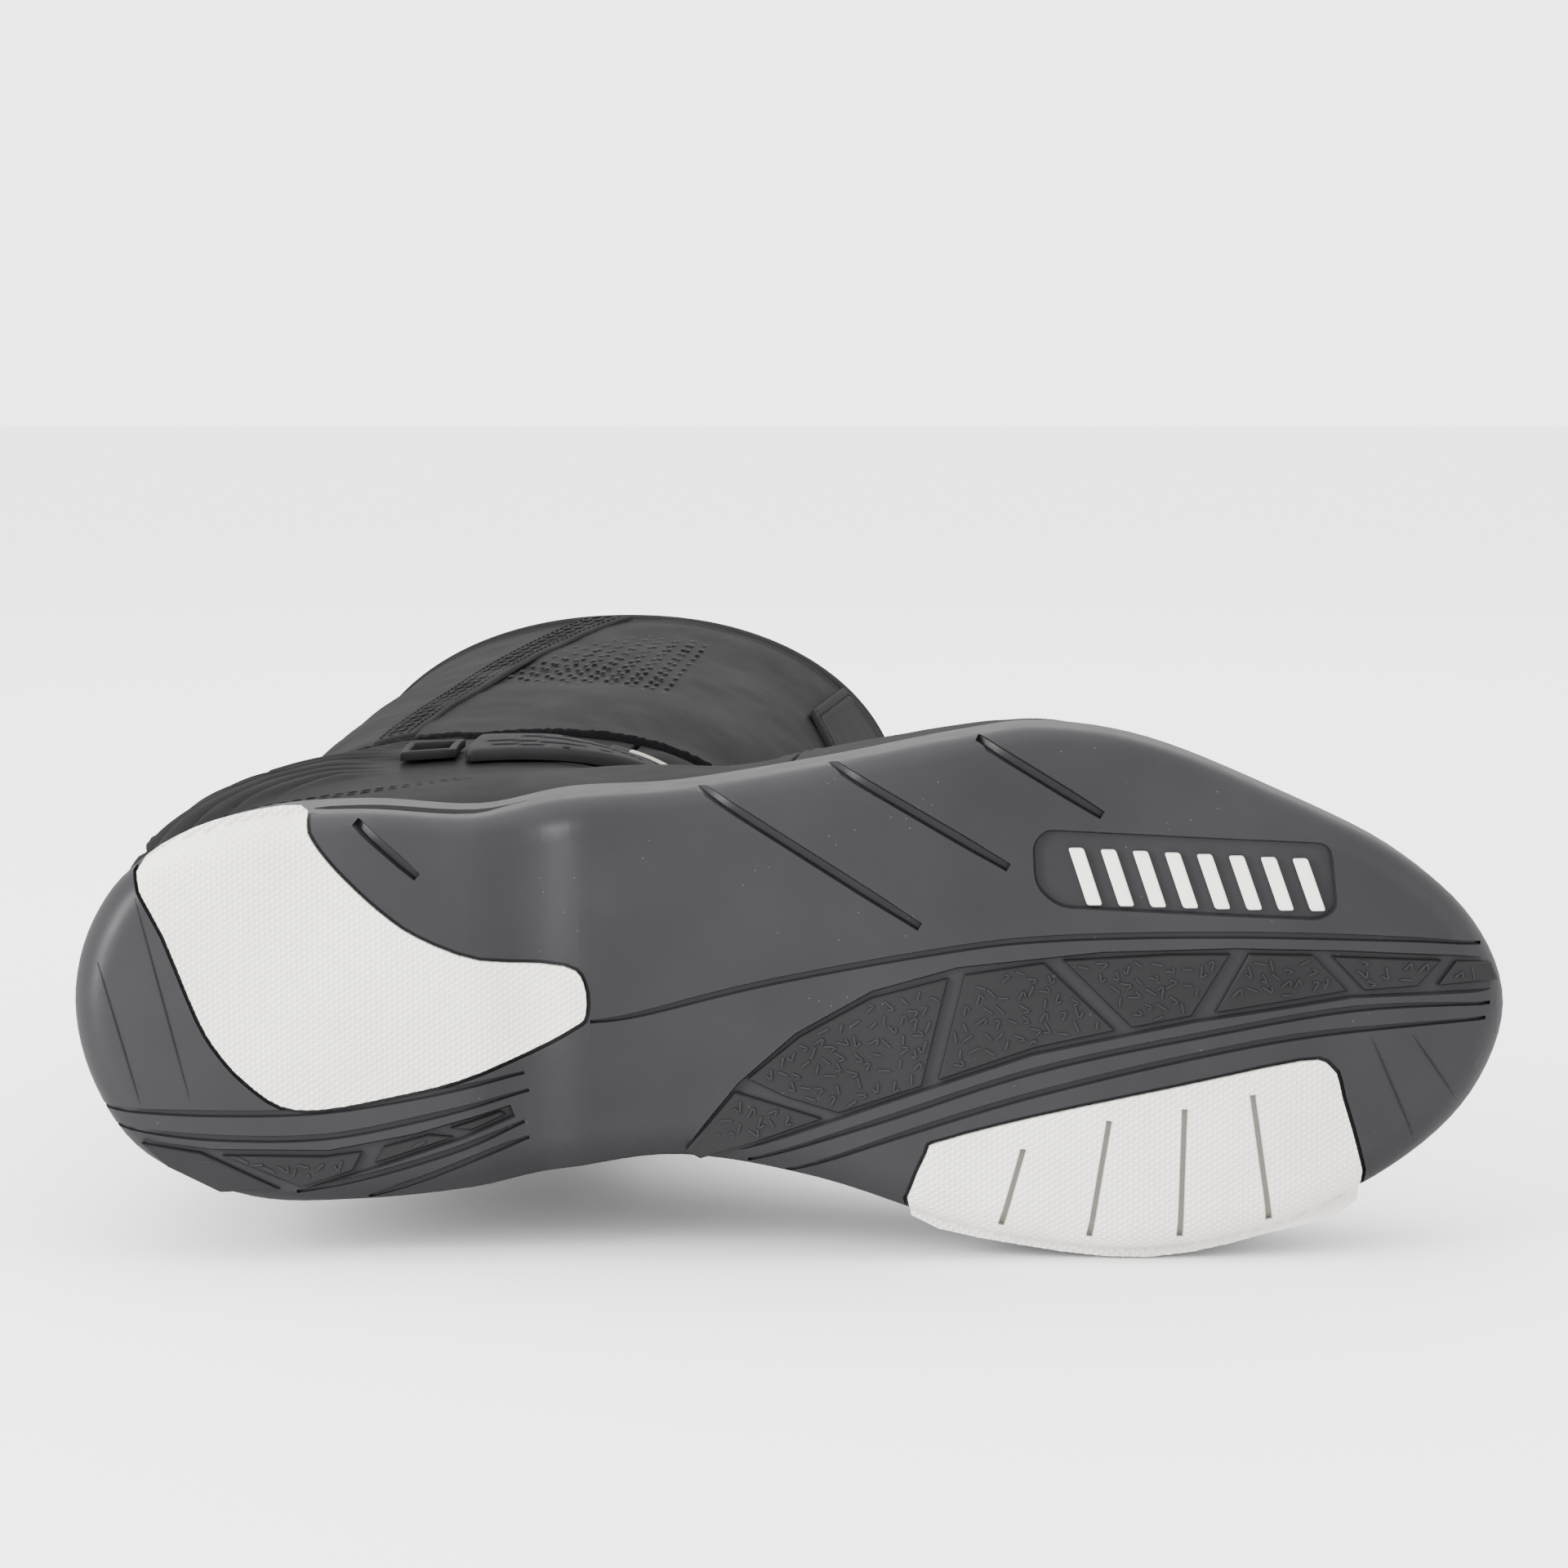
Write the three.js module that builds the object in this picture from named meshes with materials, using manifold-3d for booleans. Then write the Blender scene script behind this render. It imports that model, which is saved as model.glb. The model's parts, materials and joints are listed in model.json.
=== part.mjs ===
// A right riding boot. It is modelled standing, +X to the toe, +Y to the inner side and +Z up,
// and a group at the end lays it on its inner side.
import * as THREE from "three";
import { LoftGeometry } from "three/addons/geometries/LoftGeometry.js";
import { mergeVertices } from "three/addons/utils/BufferGeometryUtils.js";
import Module from "manifold-3d";

const wasm = await Module();
wasm.setup();

// Driving dimensions, in millimetres.
const footLength = 303;
const bootHeight = 322;
const ankleHeight = 115;
const shinFoot = 168.82; // height of the ankle bend at the shin
const shaftHalfWidth = 53;
const shaftTopBack = 32;
const shaftTopFront = 181;
const soleGirth = 0; // added to each side of the sole
const rimWall = 3; // rubber rim outside the leather
const heelFloor = 12;
const forefootFloor = 7;
const rimHeel = 35;
const rimWaist = 23;
const rimToe = 28;
const toeSpring = 10;
const breastDepth = 3;
const insertDepth = 3;
const grooveDepth = 2;
const grooveWidth = 2;
const leather = 2;
const stiffener = 1.4;
const lining = 2.2;
const footbedThickness = 3.5;
const platePad = 2.8;
const layerGap = 0.35;
const fitGap = 0.4;
const sliderLength = 11;
const sliderWidth = 9;
const pullLength = 26;
const pullWidth = 6;
const pullHole = 1.2; // radius
const pullPivot = 3; // above the middle of the slider
const flapThickness = 1.8;

// Depths of the layers, outwards from the middle of the leather.
const leatherOut = leather / 2;
const leatherIn = -leather / 2;
const stiffenerOut = leatherIn - layerGap;
const stiffenerIn = stiffenerOut - stiffener;
const liningOut = stiffenerIn - layerGap;
const liningIn = liningOut - lining;
const footbedOut = liningIn - layerGap;
const footbedIn = footbedOut - footbedThickness;
const overlayIn = leatherOut + 0.8;
const overlayOut = overlayIn + 1.4;
const plateOut = overlayIn + platePad;
const chainIn = leatherOut + layerGap;
const chainOut = chainIn + 1.2;
const sliderIn = chainOut + 0.5;
const sliderOut = sliderIn + 1.8;
const pullIn = sliderOut + layerGap;
const pullOut = pullIn + 1;
const flapIn = pullOut + 0.8;
const flapOut = flapIn + flapThickness;
const padIn = overlayIn;
const padOut = padIn + 1.4;
const flapPadOut = flapIn - layerGap;
const flapPadIn = flapPadOut - 1.4;

// The sole's plan: distance from the heel as a share of the foot length, then the outer and the
// inner half width.
const planRows = [
  [0.013, 17, 18],
  [0.05, 30, 33],
  [0.12, 38, 42],
  [0.2, 40, 42.5],
  [0.28, 39, 40],
  [0.34, 43, 36],
  [0.42, 45, 33],
  [0.52, 50, 38],
  [0.615, 56, 48],
  [0.68, 58, 51.5],
  [0.75, 54.5, 53],
  [0.835, 44, 48],
  [0.92, 31, 36],
  [0.977, 16, 21],
];

function planHalves(share) {
  const k = planRows.findIndex((row) => row[0] >= share);
  const [a, b] = [planRows[k - 1], planRows[k]];
  const t = (share - a[0]) / (b[0] - a[0]);
  const mix = (i) => THREE.MathUtils.lerp(a[i], b[i], t) + soleGirth;
  return { outer: mix(1), inner: mix(2) };
}

// Cross-sections of the last, from the toe tip to the top edge. Each holds the centre-line point at
// its sole or calf end and the one at its instep or shin end, its half width, its shift to the inner
// side, and how square its two ends are.
function footSection(share, low, frontShare, high, squareFront, squareBack) {
  const { outer, inner } = planHalves(share);
  const half = (outer + inner) / 2 - rimWall;
  const shift = (inner - outer) / 2;
  return [share * footLength, low, frontShare * footLength, high, half, shift, squareFront, squareBack];
}

function ankleSection(share, low, frontShare, high, half, shift) {
  return [share * footLength, low, frontShare * footLength, high, half, shift, 2.8, 2.7];
}

function shaftSection(rise, backRise, frontRise) {
  const lerp = THREE.MathUtils.lerp;
  return [
    lerp(14, shaftTopBack, rise ** 1.2),
    lerp(ankleHeight, bootHeight, backRise),
    lerp(138, shaftTopFront, rise),
    lerp(shinFoot, bootHeight, frontRise),
    lerp(41, shaftHalfWidth, rise),
    lerp(0, -6, rise),
    2.1 + 0.4 * (1 - rise) ** 6,
    2.15,
  ];
}

const toeTip = [0.976 * footLength, 22, 0.98 * footLength, 30, 9, 2, 2, 2];
const sections = [
  toeTip,
  footSection(0.952, 18, 0.957, 43, 2.2, 3),
  footSection(0.895, 15.5, 0.895, 55, 2.2, 3),
  footSection(0.79, 14, 0.79, 66, 2.2, 3),
  footSection(0.68, 14, 0.68, 79, 2.3, 3),
  footSection(0.55, 15, 0.56, 97, 2.6, 3),
  footSection(0.42, 20, 0.49, 116, 2.8, 3),
  ankleSection(0.26, 27, 0.455, 131, 38.5, -2),
  ankleSection(0.085, 29, 0.442, 141, 39, 0),
  ankleSection(0.013, 48, 0.439, 150, 39.5, 0),
  ankleSection(0.016, 82, 0.442, 159, 41, 0),
  shaftSection(0, 0, 0),
  shaftSection(0.16, 0.17, 0.1216),
  shaftSection(0.38, 0.38, 0.2973),
  shaftSection(0.63, 0.62, 0.5676),
  shaftSection(0.86, 0.84, 0.8378),
  shaftSection(1, 0.96, 1),
];
const topEdge = sections.length - 1;

function sectionAt(s) {
  const i = THREE.MathUtils.clamp(Math.floor(s), 0, topEdge - 1);
  const t = s - i;
  const row = (k) => sections[THREE.MathUtils.clamp(k, 0, topEdge)];
  return row(i).map((b, k) => {
    const [a, c, d] = [row(i - 1)[k], row(i + 1)[k], row(i + 2)[k]];
    const cubic = (3 * b - a - 3 * c + d) * t ** 3 + (2 * a - 5 * b + 4 * c - d) * t ** 2;
    return b + (cubic + (c - a) * t) / 2;
  });
}

// A point on the last: s counts the sections from the toe, and turn is in degrees from the instep
// and the shin round by the inner side to the sole and the calf.
function lastPoint(s, turn) {
  const [backX, backZ, frontX, frontZ, half, shift, squareFront, squareBack] = sectionAt(s);
  const angle = THREE.MathUtils.degToRad(turn);
  const [c, n] = [Math.cos(angle), Math.sin(angle)];
  const square = (squareFront + squareBack) / 2 + ((squareFront - squareBack) / 2) * c;
  const bow = (v) => Math.sign(v) * Math.abs(v) ** (2 / square);
  const along = (1 + bow(c)) / 2;
  const lerp = THREE.MathUtils.lerp;
  return new THREE.Vector3(lerp(backX, frontX, along), shift + half * bow(n), lerp(backZ, frontZ, along));
}

function bootPoint(s, turn, depth) {
  const step = 0.05;
  const around = lastPoint(s, turn + 2).sub(lastPoint(s, turn - 2));
  const along = lastPoint(Math.min(s + step, topEdge), turn).sub(lastPoint(Math.max(s - step, 0), turn));
  return lastPoint(s, turn).addScaledVector(around.cross(along).normalize(), depth);
}

// The places between two ends where every layer has its edges, so that layers nest.
const ringStep = 15;
const rowStep = 0.5;
function stops(from, to, step) {
  const list = [from];
  const margin = step * 0.3;
  for (let k = Math.ceil((from + margin) / step); k * step < to - margin; k++) list.push(k * step);
  return [...list, to];
}

const asEdge = (edge) => (typeof edge === "function" ? edge : () => edge);

// Rows of a sheet at one turn. They keep to the shared places, and only those near a curved edge
// are drawn together or apart to reach it.
function rowsBetween([low, high], rings) {
  const lows = rings.map(low);
  const highs = rings.map(high);
  const [first, last] = [Math.min(...lows), Math.max(...highs)];
  const lowFixed = Math.max(...lows) === first ? first : Math.ceil(Math.max(...lows)) + rowStep;
  const highFixed = Math.min(...highs) === last ? last : Math.floor(Math.min(...highs)) - rowStep;
  const rows = stops(first, last, rowStep);
  const { mapLinear } = THREE.MathUtils;
  const at = (turn, s) => {
    if (lowFixed >= highFixed) return mapLinear(s, first, last, low(turn), high(turn));
    if (s < lowFixed) return mapLinear(s, first, lowFixed, low(turn), lowFixed);
    if (s > highFixed) return mapLinear(s, highFixed, last, highFixed, high(turn));
    return s;
  };
  return { rows, at };
}

// A sheet on the last, between two turns and two edges along it, with its wall between two depths.
function sheet({ turns, along, depths }) {
  const rings = stops(turns[0], turns[1], ringStep);
  const { rows, at } = rowsBetween(along.map(asEdge), rings);
  const box = new THREE.BoxGeometry(1, 1, 1, rings.length - 1, rows.length - 1, 1);
  const place = box.attributes.position;
  for (let k = 0; k < place.count; k++) {
    const turn = rings[Math.round((place.getX(k) + 0.5) * (rings.length - 1))];
    const row = rows[Math.round((place.getY(k) + 0.5) * (rows.length - 1))];
    const p = bootPoint(at(turn, row), turn, place.getZ(k) > 0 ? depths[1] : depths[0]);
    place.setXYZ(k, p.x, p.y, p.z);
  }
  return box;
}

function solidOf(geometry) {
  const bare = new THREE.BufferGeometry().setAttribute("position", geometry.attributes.position);
  if (geometry.index) bare.setIndex(geometry.index);
  const merged = mergeVertices(bare, 1e-3);
  const mesh = { numProp: 3, vertProperties: merged.attributes.position.array };
  return new wasm.Manifold(new wasm.Mesh({ ...mesh, triVerts: new Uint32Array(merged.index.array) }));
}

function geometryOf(solid) {
  const mesh = solid.getMesh();
  const geometry = new THREE.BufferGeometry();
  geometry.setAttribute("position", new THREE.BufferAttribute(mesh.vertProperties, 3));
  geometry.setIndex(new THREE.BufferAttribute(mesh.triVerts, 1));
  geometry.computeVertexNormals();
  return geometry;
}

const finishes = {
  rubber: { color: 0x4b4a4d, roughness: 0.55 },
  pale_rubber: { color: 0xe6e3dc, roughness: 0.75 },
  leather: { color: 0x353537, roughness: 0.5 },
  guard_plastic: { color: 0x3c3c3f, roughness: 0.4 },
  flex_leather: { color: 0x2c2c2e, roughness: 0.6 },
  textile: { color: 0x17171a, roughness: 0.95 },
  pile: { color: 0x0f0f11, roughness: 1 },
  foam: { color: 0x55565a, roughness: 0.9 },
  board: { color: 0x9a7f5c, roughness: 0.9 },
  steel: { color: 0x8d9094, roughness: 0.35, metalness: 0.9 },
  zip_metal: { color: 0x2a2a2c, roughness: 0.35, metalness: 0.7 },
  badge: { color: 0xb9b2a4, roughness: 0.35, metalness: 0.4 },
};

const boot = new THREE.Group();
function add(name, geometry, finish) {
  const mesh = new THREE.Mesh(geometry, new THREE.MeshStandardMaterial(finishes[finish]));
  mesh.name = name;
  boot.add(mesh);
}

// Edges of the fixed foot and the fixed shaft round the ankle, with the bending parts between.
const seam = leather / 4; // degrees left free at each side of a seam
const seamRow = 0.015; // the same along the last
const footTop = (turn) => {
  const forward = Math.max(Math.cos(THREE.MathUtils.degToRad(turn)), 0);
  return 9.7 - 2.1 * forward;
};
const shaftFoot = (turn) => {
  const c = Math.cos(THREE.MathUtils.degToRad(turn));
  return c > 0 ? 11.2 + c : 11.2 - 0.4 * c;
};
const aboveFoot = (turn) => footTop(turn) + 2 * seamRow;
const belowShaft = (turn) => shaftFoot(turn) - 2 * seamRow;
const shaftTop = topEdge - 0.25;

// ---- Sole ----

function planPoints(inset) {
  const edgePoint = (share, side) => new THREE.Vector3(share * footLength, side, 0);
  const outer = planRows.map(([share, out]) => edgePoint(share, -out - soleGirth));
  const inner = planRows.map(([share, , into]) => edgePoint(share, into + soleGirth));
  const heel = new THREE.Vector3(0, 0, 0);
  const toe = new THREE.Vector3(footLength, 2, 0);
  const curve = new THREE.CatmullRomCurve3([heel, ...outer, toe, ...inner.reverse()], true, "centripetal");
  const count = 64;
  return Array.from({ length: count }, (_, k) => {
    const p = curve.getPointAt(k / count);
    const t = curve.getTangentAt(k / count);
    return new THREE.Vector2(p.x - t.y * inset, p.y + t.x * inset);
  });
}

function prism(points, low, high) {
  const shape = new THREE.Shape(points.map(([x, y]) => new THREE.Vector2(x, y)));
  const geometry = new THREE.ExtrudeGeometry(shape, { depth: high - low, bevelEnabled: false });
  return solidOf(geometry.translate(0, 0, low));
}

// The sole seen from the side, from the tread line up to the rim line. far reaches past the boot.
const far = 2 * Math.max(footLength, bootHeight);
const heelBreast = 0.277 * footLength;
const breastWidth = 21;
const springStart = 0.78 * footLength;
function sideProfile() {
  const shape = new THREE.Shape();
  const beyond = 5;
  shape.moveTo(-beyond, 0);
  shape.lineTo(heelBreast, 0);
  for (let k = 1; k < 6; k++) {
    shape.lineTo(heelBreast + (breastWidth * k) / 6, breastDepth * Math.sin((Math.PI * k) / 6));
  }
  shape.lineTo(heelBreast + breastWidth, 0);
  for (let k = 0; k <= 6; k++) {
    const x = THREE.MathUtils.lerp(springStart, footLength + beyond, k / 6);
    shape.lineTo(x, toeSpring * ((x - springStart) / (footLength - springStart)) ** 2);
  }
  shape.lineTo(footLength + beyond, rimToe);
  const rimLine = [
    [0.95 * footLength, rimToe],
    [0.84 * footLength, rimWaist],
    [0.55 * footLength, rimWaist],
    [0.3 * footLength, rimHeel],
    [-beyond, rimHeel],
  ];
  shape.splineThru(rimLine.map(([x, z]) => new THREE.Vector2(x, z)));
  const geometry = new THREE.ExtrudeGeometry(shape, { depth: far, bevelEnabled: false, curveSegments: 10 });
  return solidOf(geometry.rotateX(Math.PI / 2).translate(0, far / 2, 0));
}

const soleEdge = 6;
const planShape = new THREE.Shape(planPoints(soleEdge));
const planSolid = solidOf(
  new THREE.ExtrudeGeometry(planShape, {
    depth: rimHeel + soleEdge,
    bevelThickness: soleEdge,
    bevelSize: soleEdge,
    bevelSegments: 3,
    curveSegments: 1,
  }).translate(0, 0, soleEdge),
);
const soleBlock = planSolid.intersect(sideProfile());

// The closed form of the boot between two edges, at one depth.
function filledLast(from, to, depth) {
  const turns = stops(-180, 180, ringStep).slice(0, -1);
  const rings = stops(from, to, rowStep).map((s) => turns.map((turn) => bootPoint(s, turn, depth)));
  return solidOf(new LoftGeometry(rings, { capStart: true, capEnd: true }));
}

const footEnd = 9.9;
const envelope = filledLast(0, footEnd, leatherOut + fitGap);

// Outlines on the tread, seen through the sole: distance from the heel, then towards the inner side.
// They are drawn for a foot of drawnLength and stretched to footLength.
const drawnLength = 303;
const stretched = (points) => points.map(([x, y]) => [(x * footLength) / drawnLength, y]);
const heelPatch = stretched([
  [14, -28],
  [27, -42],
  [47, -48],
  [58, -26],
  [73, -14],
  [86, -9],
  [106, -7],
  [108, -2],
  [106, 5],
  [96, 10],
  [81, 16],
  [67, 19],
  [50, 22],
  [38, 18],
  [29, 7],
  [20, -16],
]);
const forefootPatch = stretched([
  [176, 60],
  [180, 31],
  [186, 28],
  [220, 20],
  [258, 12.5],
  [265, 15],
  [272, 60],
]);
const emblemPocket = stretched([
  [203, -36],
  [264, -33],
  [264, -18],
  [206, -21],
  [202, -25],
]);
const grooves = [
  [[130, -44], [178, -16.5]],
  [[158, -48], [196.5, -29]],
  [[189, -52], [215, -40.5]],
  [[61, -38], [73, -27]],
].map(stretched);

// Moves each side of an outline outwards, for outlines that run anticlockwise.
function grown(points, gap) {
  const area = THREE.ShapeUtils.area(points.map(([x, y]) => new THREE.Vector2(x, y)));
  const side = area > 0 ? 1 : -1;
  const count = points.length;
  return points.map(([x, y], k) => {
    const [ax, ay] = points[(k + count - 1) % count];
    const [bx, by] = points[(k + 1) % count];
    const before = new THREE.Vector2(y - ay, ax - x).normalize();
    const after = new THREE.Vector2(by - y, x - bx).normalize();
    const mitre = before.clone().add(after).normalize();
    const reach = (side * gap) / Math.max(mitre.dot(before), 0.4);
    return [x + mitre.x * reach, y + mitre.y * reach];
  });
}

// Pockets start this much deeper than their pieces are thick, as the tread is slightly arched.
const treadRoom = 2;
const treadTop = (depth) => depth + treadRoom;
const core = (inset, low) =>
  prism(planPoints(inset).map((p) => [p.x, p.y]), low, rimHeel + soleEdge);
const wedge = (inset, low, heelLow) => {
  const joint = heelBreast + 0.1;
  const front = prism([[heelBreast, -far], [far, -far], [far, far], [heelBreast, far]], low, far);
  const back = prism([[-far, -far], [joint, -far], [joint, far], [-far, far]], heelLow, far);
  return core(inset, low).intersect(front.add(back));
};
const coreInset = rimWall + soleEdge; // from the sole's outline in to the filler
const coreSpace = wedge(coreInset, forefootFloor, heelFloor);

let outsole = soleBlock.subtract(envelope).subtract(coreSpace);
for (const [[ax, ay], [bx, by]] of grooves) {
  const side = new THREE.Vector2(ay - by, bx - ax).setLength(grooveWidth / 2);
  const bar = [
    [ax - side.x, ay - side.y],
    [bx - side.x, by - side.y],
    [bx + side.x, by + side.y],
    [ax + side.x, ay + side.y],
  ];
  outsole = outsole.subtract(prism(bar, -far, grooveDepth));
}
const patchPieces = [
  ["heel_insert", heelPatch, insertDepth],
  ["forefoot_insert", forefootPatch, insertDepth],
  ["sole_emblem", emblemPocket, grooveDepth],
];
for (const [, points, depth] of patchPieces) {
  outsole = outsole.subtract(prism(points, -far, treadTop(depth)));
}
const clearOfFoot = filledLast(0, footEnd, leatherOut + 2 * fitGap);
const largest = (solid) => solid.decompose().sort((a, b) => b.volume() - a.volume())[0];
add("outsole", geometryOf(largest(outsole)), "rubber");
for (const [name, points, depth] of patchPieces) {
  const block = prism(grown(points, -fitGap), -far, treadTop(depth) - fitGap);
  const patch = block.intersect(soleBlock).subtract(clearOfFoot);
  add(name, geometryOf(largest(patch)), "pale_rubber");
}

// The filler under the board, with the steel shank let into its top.
const shankLength = 105;
const shankWidth = 15;
const shankThickness = 1.6;
const shankBack = 0.13 * footLength;
const shankFront = 0.5 * footLength;
const lastOverHeel = 27.6; // heights of the last over the two ends of the shank
const lastOverWaist = 15.1;
const shankHeel = lastOverHeel - leatherOut - shankThickness;
const shankWaist = lastOverWaist - leatherOut - shankThickness;
function shankLine(rise) {
  const run = 8;
  const low = Array.from({ length: run + 1 }, (_, k) => shankBack + (shankLength * k) / run);
  const fall = (x) => THREE.MathUtils.smoothstep(x, shankBack, shankFront);
  const height = (x) => THREE.MathUtils.lerp(shankHeel, shankWaist, fall(x));
  const shape = new THREE.Shape();
  low.forEach((x, k) => shape[k ? "lineTo" : "moveTo"](x, height(x) - rise));
  low.reverse().forEach((x) => shape.lineTo(x, height(x) + shankThickness + rise));
  const width = shankWidth + 2 * rise;
  const bar = new THREE.ExtrudeGeometry(shape, { depth: width, bevelEnabled: false });
  return bar.rotateX(Math.PI / 2).translate(0, width / 2, 0);
}
const filler = wedge(coreInset + fitGap, forefootFloor + fitGap, heelFloor + fitGap)
  .intersect(sideProfile())
  .subtract(clearOfFoot)
  .subtract(solidOf(shankLine(fitGap)));
add("midsole", geometryOf(largest(filler)), "foam");
add("shank", shankLine(0), "steel");

// ---- Foot ----

const boardHalf = 30;
const boardEnd = 8.5;
const boardTurns = [180 - boardHalf + seam, 180 + boardHalf - seam];
const wrap = 180 - boardHalf - seam;
const toeStart = 0.15;
const capEnd = 2.5;
const vampEnd = 5.5;
const sideTurn = 60;
const backTurn = 120;
const skin = [leatherIn, leatherOut];
const overlay = [overlayIn, overlayOut];
const hidden = [stiffenerIn, stiffenerOut];
const inside = [liningIn, liningOut];
const round = [-180 + seam, 180 - seam];
const before = (s) => s - seamRow;
const after = (s) => s + seamRow;

function addSheet(name, turns, along, depths, finish) {
  add(name, sheet({ turns, along, depths }), finish);
}

addSheet("insole_board", boardTurns, [0.5, before(boardEnd)], skin, "board");
addSheet("footbed", [150, 210], [1, 8], [footbedIn, footbedOut], "foam");
addSheet("foot_lining", round, [0.5, footTop], inside, "textile");
addSheet("toe_puff", [-105, 105], [0.5, 2], hidden, "board");
addSheet("heel_counter", [105, 255], [8, 9.5], hidden, "board");
addSheet("toe_cap", [-wrap, wrap], [toeStart, before(capEnd)], skin, "leather");
addSheet("toe_overlay", [-75, 75], [1, 2], overlay, "leather");
addSheet("vamp", [-wrap, wrap], [after(capEnd), before(vampEnd)], skin, "leather");
addSheet("vamp_welt", [75, 105], [vampEnd - 0.25, vampEnd + 0.25], overlay, "leather");
addSheet("instep_panel", [-sideTurn + seam, sideTurn - seam], [after(vampEnd), footTop], skin, "leather");
addSheet("lateral_quarter", [-wrap, -sideTurn - seam], [after(vampEnd), footTop], skin, "leather");
addSheet("medial_quarter", [sideTurn + seam, wrap], [after(vampEnd), footTop], skin, "leather");
addSheet("heel_cover", boardTurns, [after(boardEnd), footTop], skin, "leather");
addSheet("lateral_ankle_cup", [-104, -75], [8.5, 9.5], hidden, "foam");
addSheet("medial_ankle_cup", [75, 104], [8.5, 9.5], hidden, "foam");

// The ankle guard is a slotted plate with a small loop behind it, over the outer ankle. Its upper
// edge drops in front to make room for the badge.
const guardTurns = [-87, -36];
const guardRows = [8.9, 10.15];
const badgeTurns = [-57, -41];
const badgeDrop = 0.45;
const guardTop = (turn) => {
  const drop = THREE.MathUtils.smoothstep(turn, badgeTurns[0] - 19, badgeTurns[0] - 3);
  return guardRows[1] - badgeDrop * drop;
};
const guardEdges = [guardRows[0], guardTop];
let guard = solidOf(sheet({ turns: guardTurns, along: guardEdges, depths: [overlayIn, plateOut] }));
for (let k = 0; k < 4; k++) {
  const share = (k + 1) / 5;
  const row = (turn) => THREE.MathUtils.lerp(guardRows[0], guardTop(turn), share);
  const slot = sheet({
    turns: [guardTurns[0] + 6, guardTurns[1] - 16 + 4 * k],
    along: [(turn) => row(turn) - 0.035, (turn) => row(turn) + 0.035],
    depths: [overlayIn - 1, plateOut + 1],
  });
  guard = guard.subtract(solidOf(slot));
}
add("ankle_guard", geometryOf(guard), "guard_plastic");
const loopTurns = [guardTurns[0] - 14, guardTurns[0] - 2 * seam];
const loopRows = [9.2, 9.85];
const loopPlate = solidOf(sheet({ turns: loopTurns, along: loopRows, depths: [overlayIn, overlayOut] }));
const loopHole = sheet({
  turns: [loopTurns[0] + 4, loopTurns[1] - 4],
  along: [loopRows[0] + 0.16, loopRows[1] - 0.16],
  depths: [overlayIn - 1, overlayOut + 1],
});
add("guard_loop", geometryOf(loopPlate.subtract(solidOf(loopHole))), "guard_plastic");
const badgeRows = [guardRows[1] - badgeDrop + 0.08, guardRows[1] - 0.05];
addSheet("guard_badge", badgeTurns, badgeRows, overlay, "badge");

// ---- Bending parts round the ankle ----

const flex = [aboveFoot, belowShaft];
addSheet("front_bellows", [-sideTurn + seam, sideTurn - seam], flex, skin, "flex_leather");
addSheet("lateral_gusset", [-backTurn + seam, -sideTurn - seam], flex, skin, "flex_leather");
addSheet("medial_gusset", [sideTurn + seam, backTurn - seam], flex, skin, "flex_leather");
addSheet("rear_bellows", [backTurn + seam, 360 - backTurn - seam], flex, skin, "flex_leather");
addSheet("ankle_lining", round, flex, inside, "textile");

// ---- Shaft ----

const zipTurn = 90;
const tapeHalf = 7;
const calfTurn = 105; // seam between the outer panel and the calf panel
const zipRows = [11.5, 15.5];
const rise = [shaftFoot, before(shaftTop)];
addSheet("shaft_lining", round, rise, inside, "textile");
addSheet("shin_panel", [-45 + seam, 45 - seam], rise, skin, "leather");
addSheet("lateral_panel", [-calfTurn + seam, -45 - seam], rise, skin, "leather");
addSheet("calf_panel", [135 + seam, 360 - calfTurn - seam], rise, skin, "leather");
addSheet("medial_front_panel", [45 + seam, zipTurn - tapeHalf - seam], rise, skin, "leather");
addSheet("medial_rear_panel", [zipTurn + tapeHalf + seam, 135 - seam], rise, skin, "leather");
addSheet("front_zip_tape", [zipTurn - tapeHalf + seam, zipTurn - seam], rise, skin, "textile");
addSheet("rear_zip_tape", [zipTurn + seam, zipTurn + tapeHalf - seam], rise, skin, "textile");
addSheet("zip_chain", [zipTurn - 2.2, zipTurn + 2.2], zipRows, [chainIn, chainOut], "zip_metal");
addSheet("zip_bellows", [zipTurn - 15, zipTurn + 15], [12, 15.5], hidden, "textile");
addSheet("shin_pad", [-30, 30], [13, 15.5], hidden, "foam");
addSheet("shin_overlay", [-40, 40], [14.25, 15.6], overlay, "leather");
addSheet("calf_seam_band", [-calfTurn - 6, -calfTurn + 6], [11.9, 15.6], overlay, "leather");
addSheet("hook_patch", [60, 75], [13, 15], [padIn, padOut], "pile");
addSheet("collar", round, [after(shaftTop), topEdge], [liningIn, leatherOut + 0.8], "flex_leather");

// ---- Closing flap over the zip ----

const flapStart = 12;
const flapTurns = [60, 127.5];
addSheet("closure_flap", flapTurns, [flapStart, 15.5], [flapIn, flapOut], "leather");
addSheet("loop_patch", [61, 75], [13, 15], [flapPadIn, flapPadOut], "pile");

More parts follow.
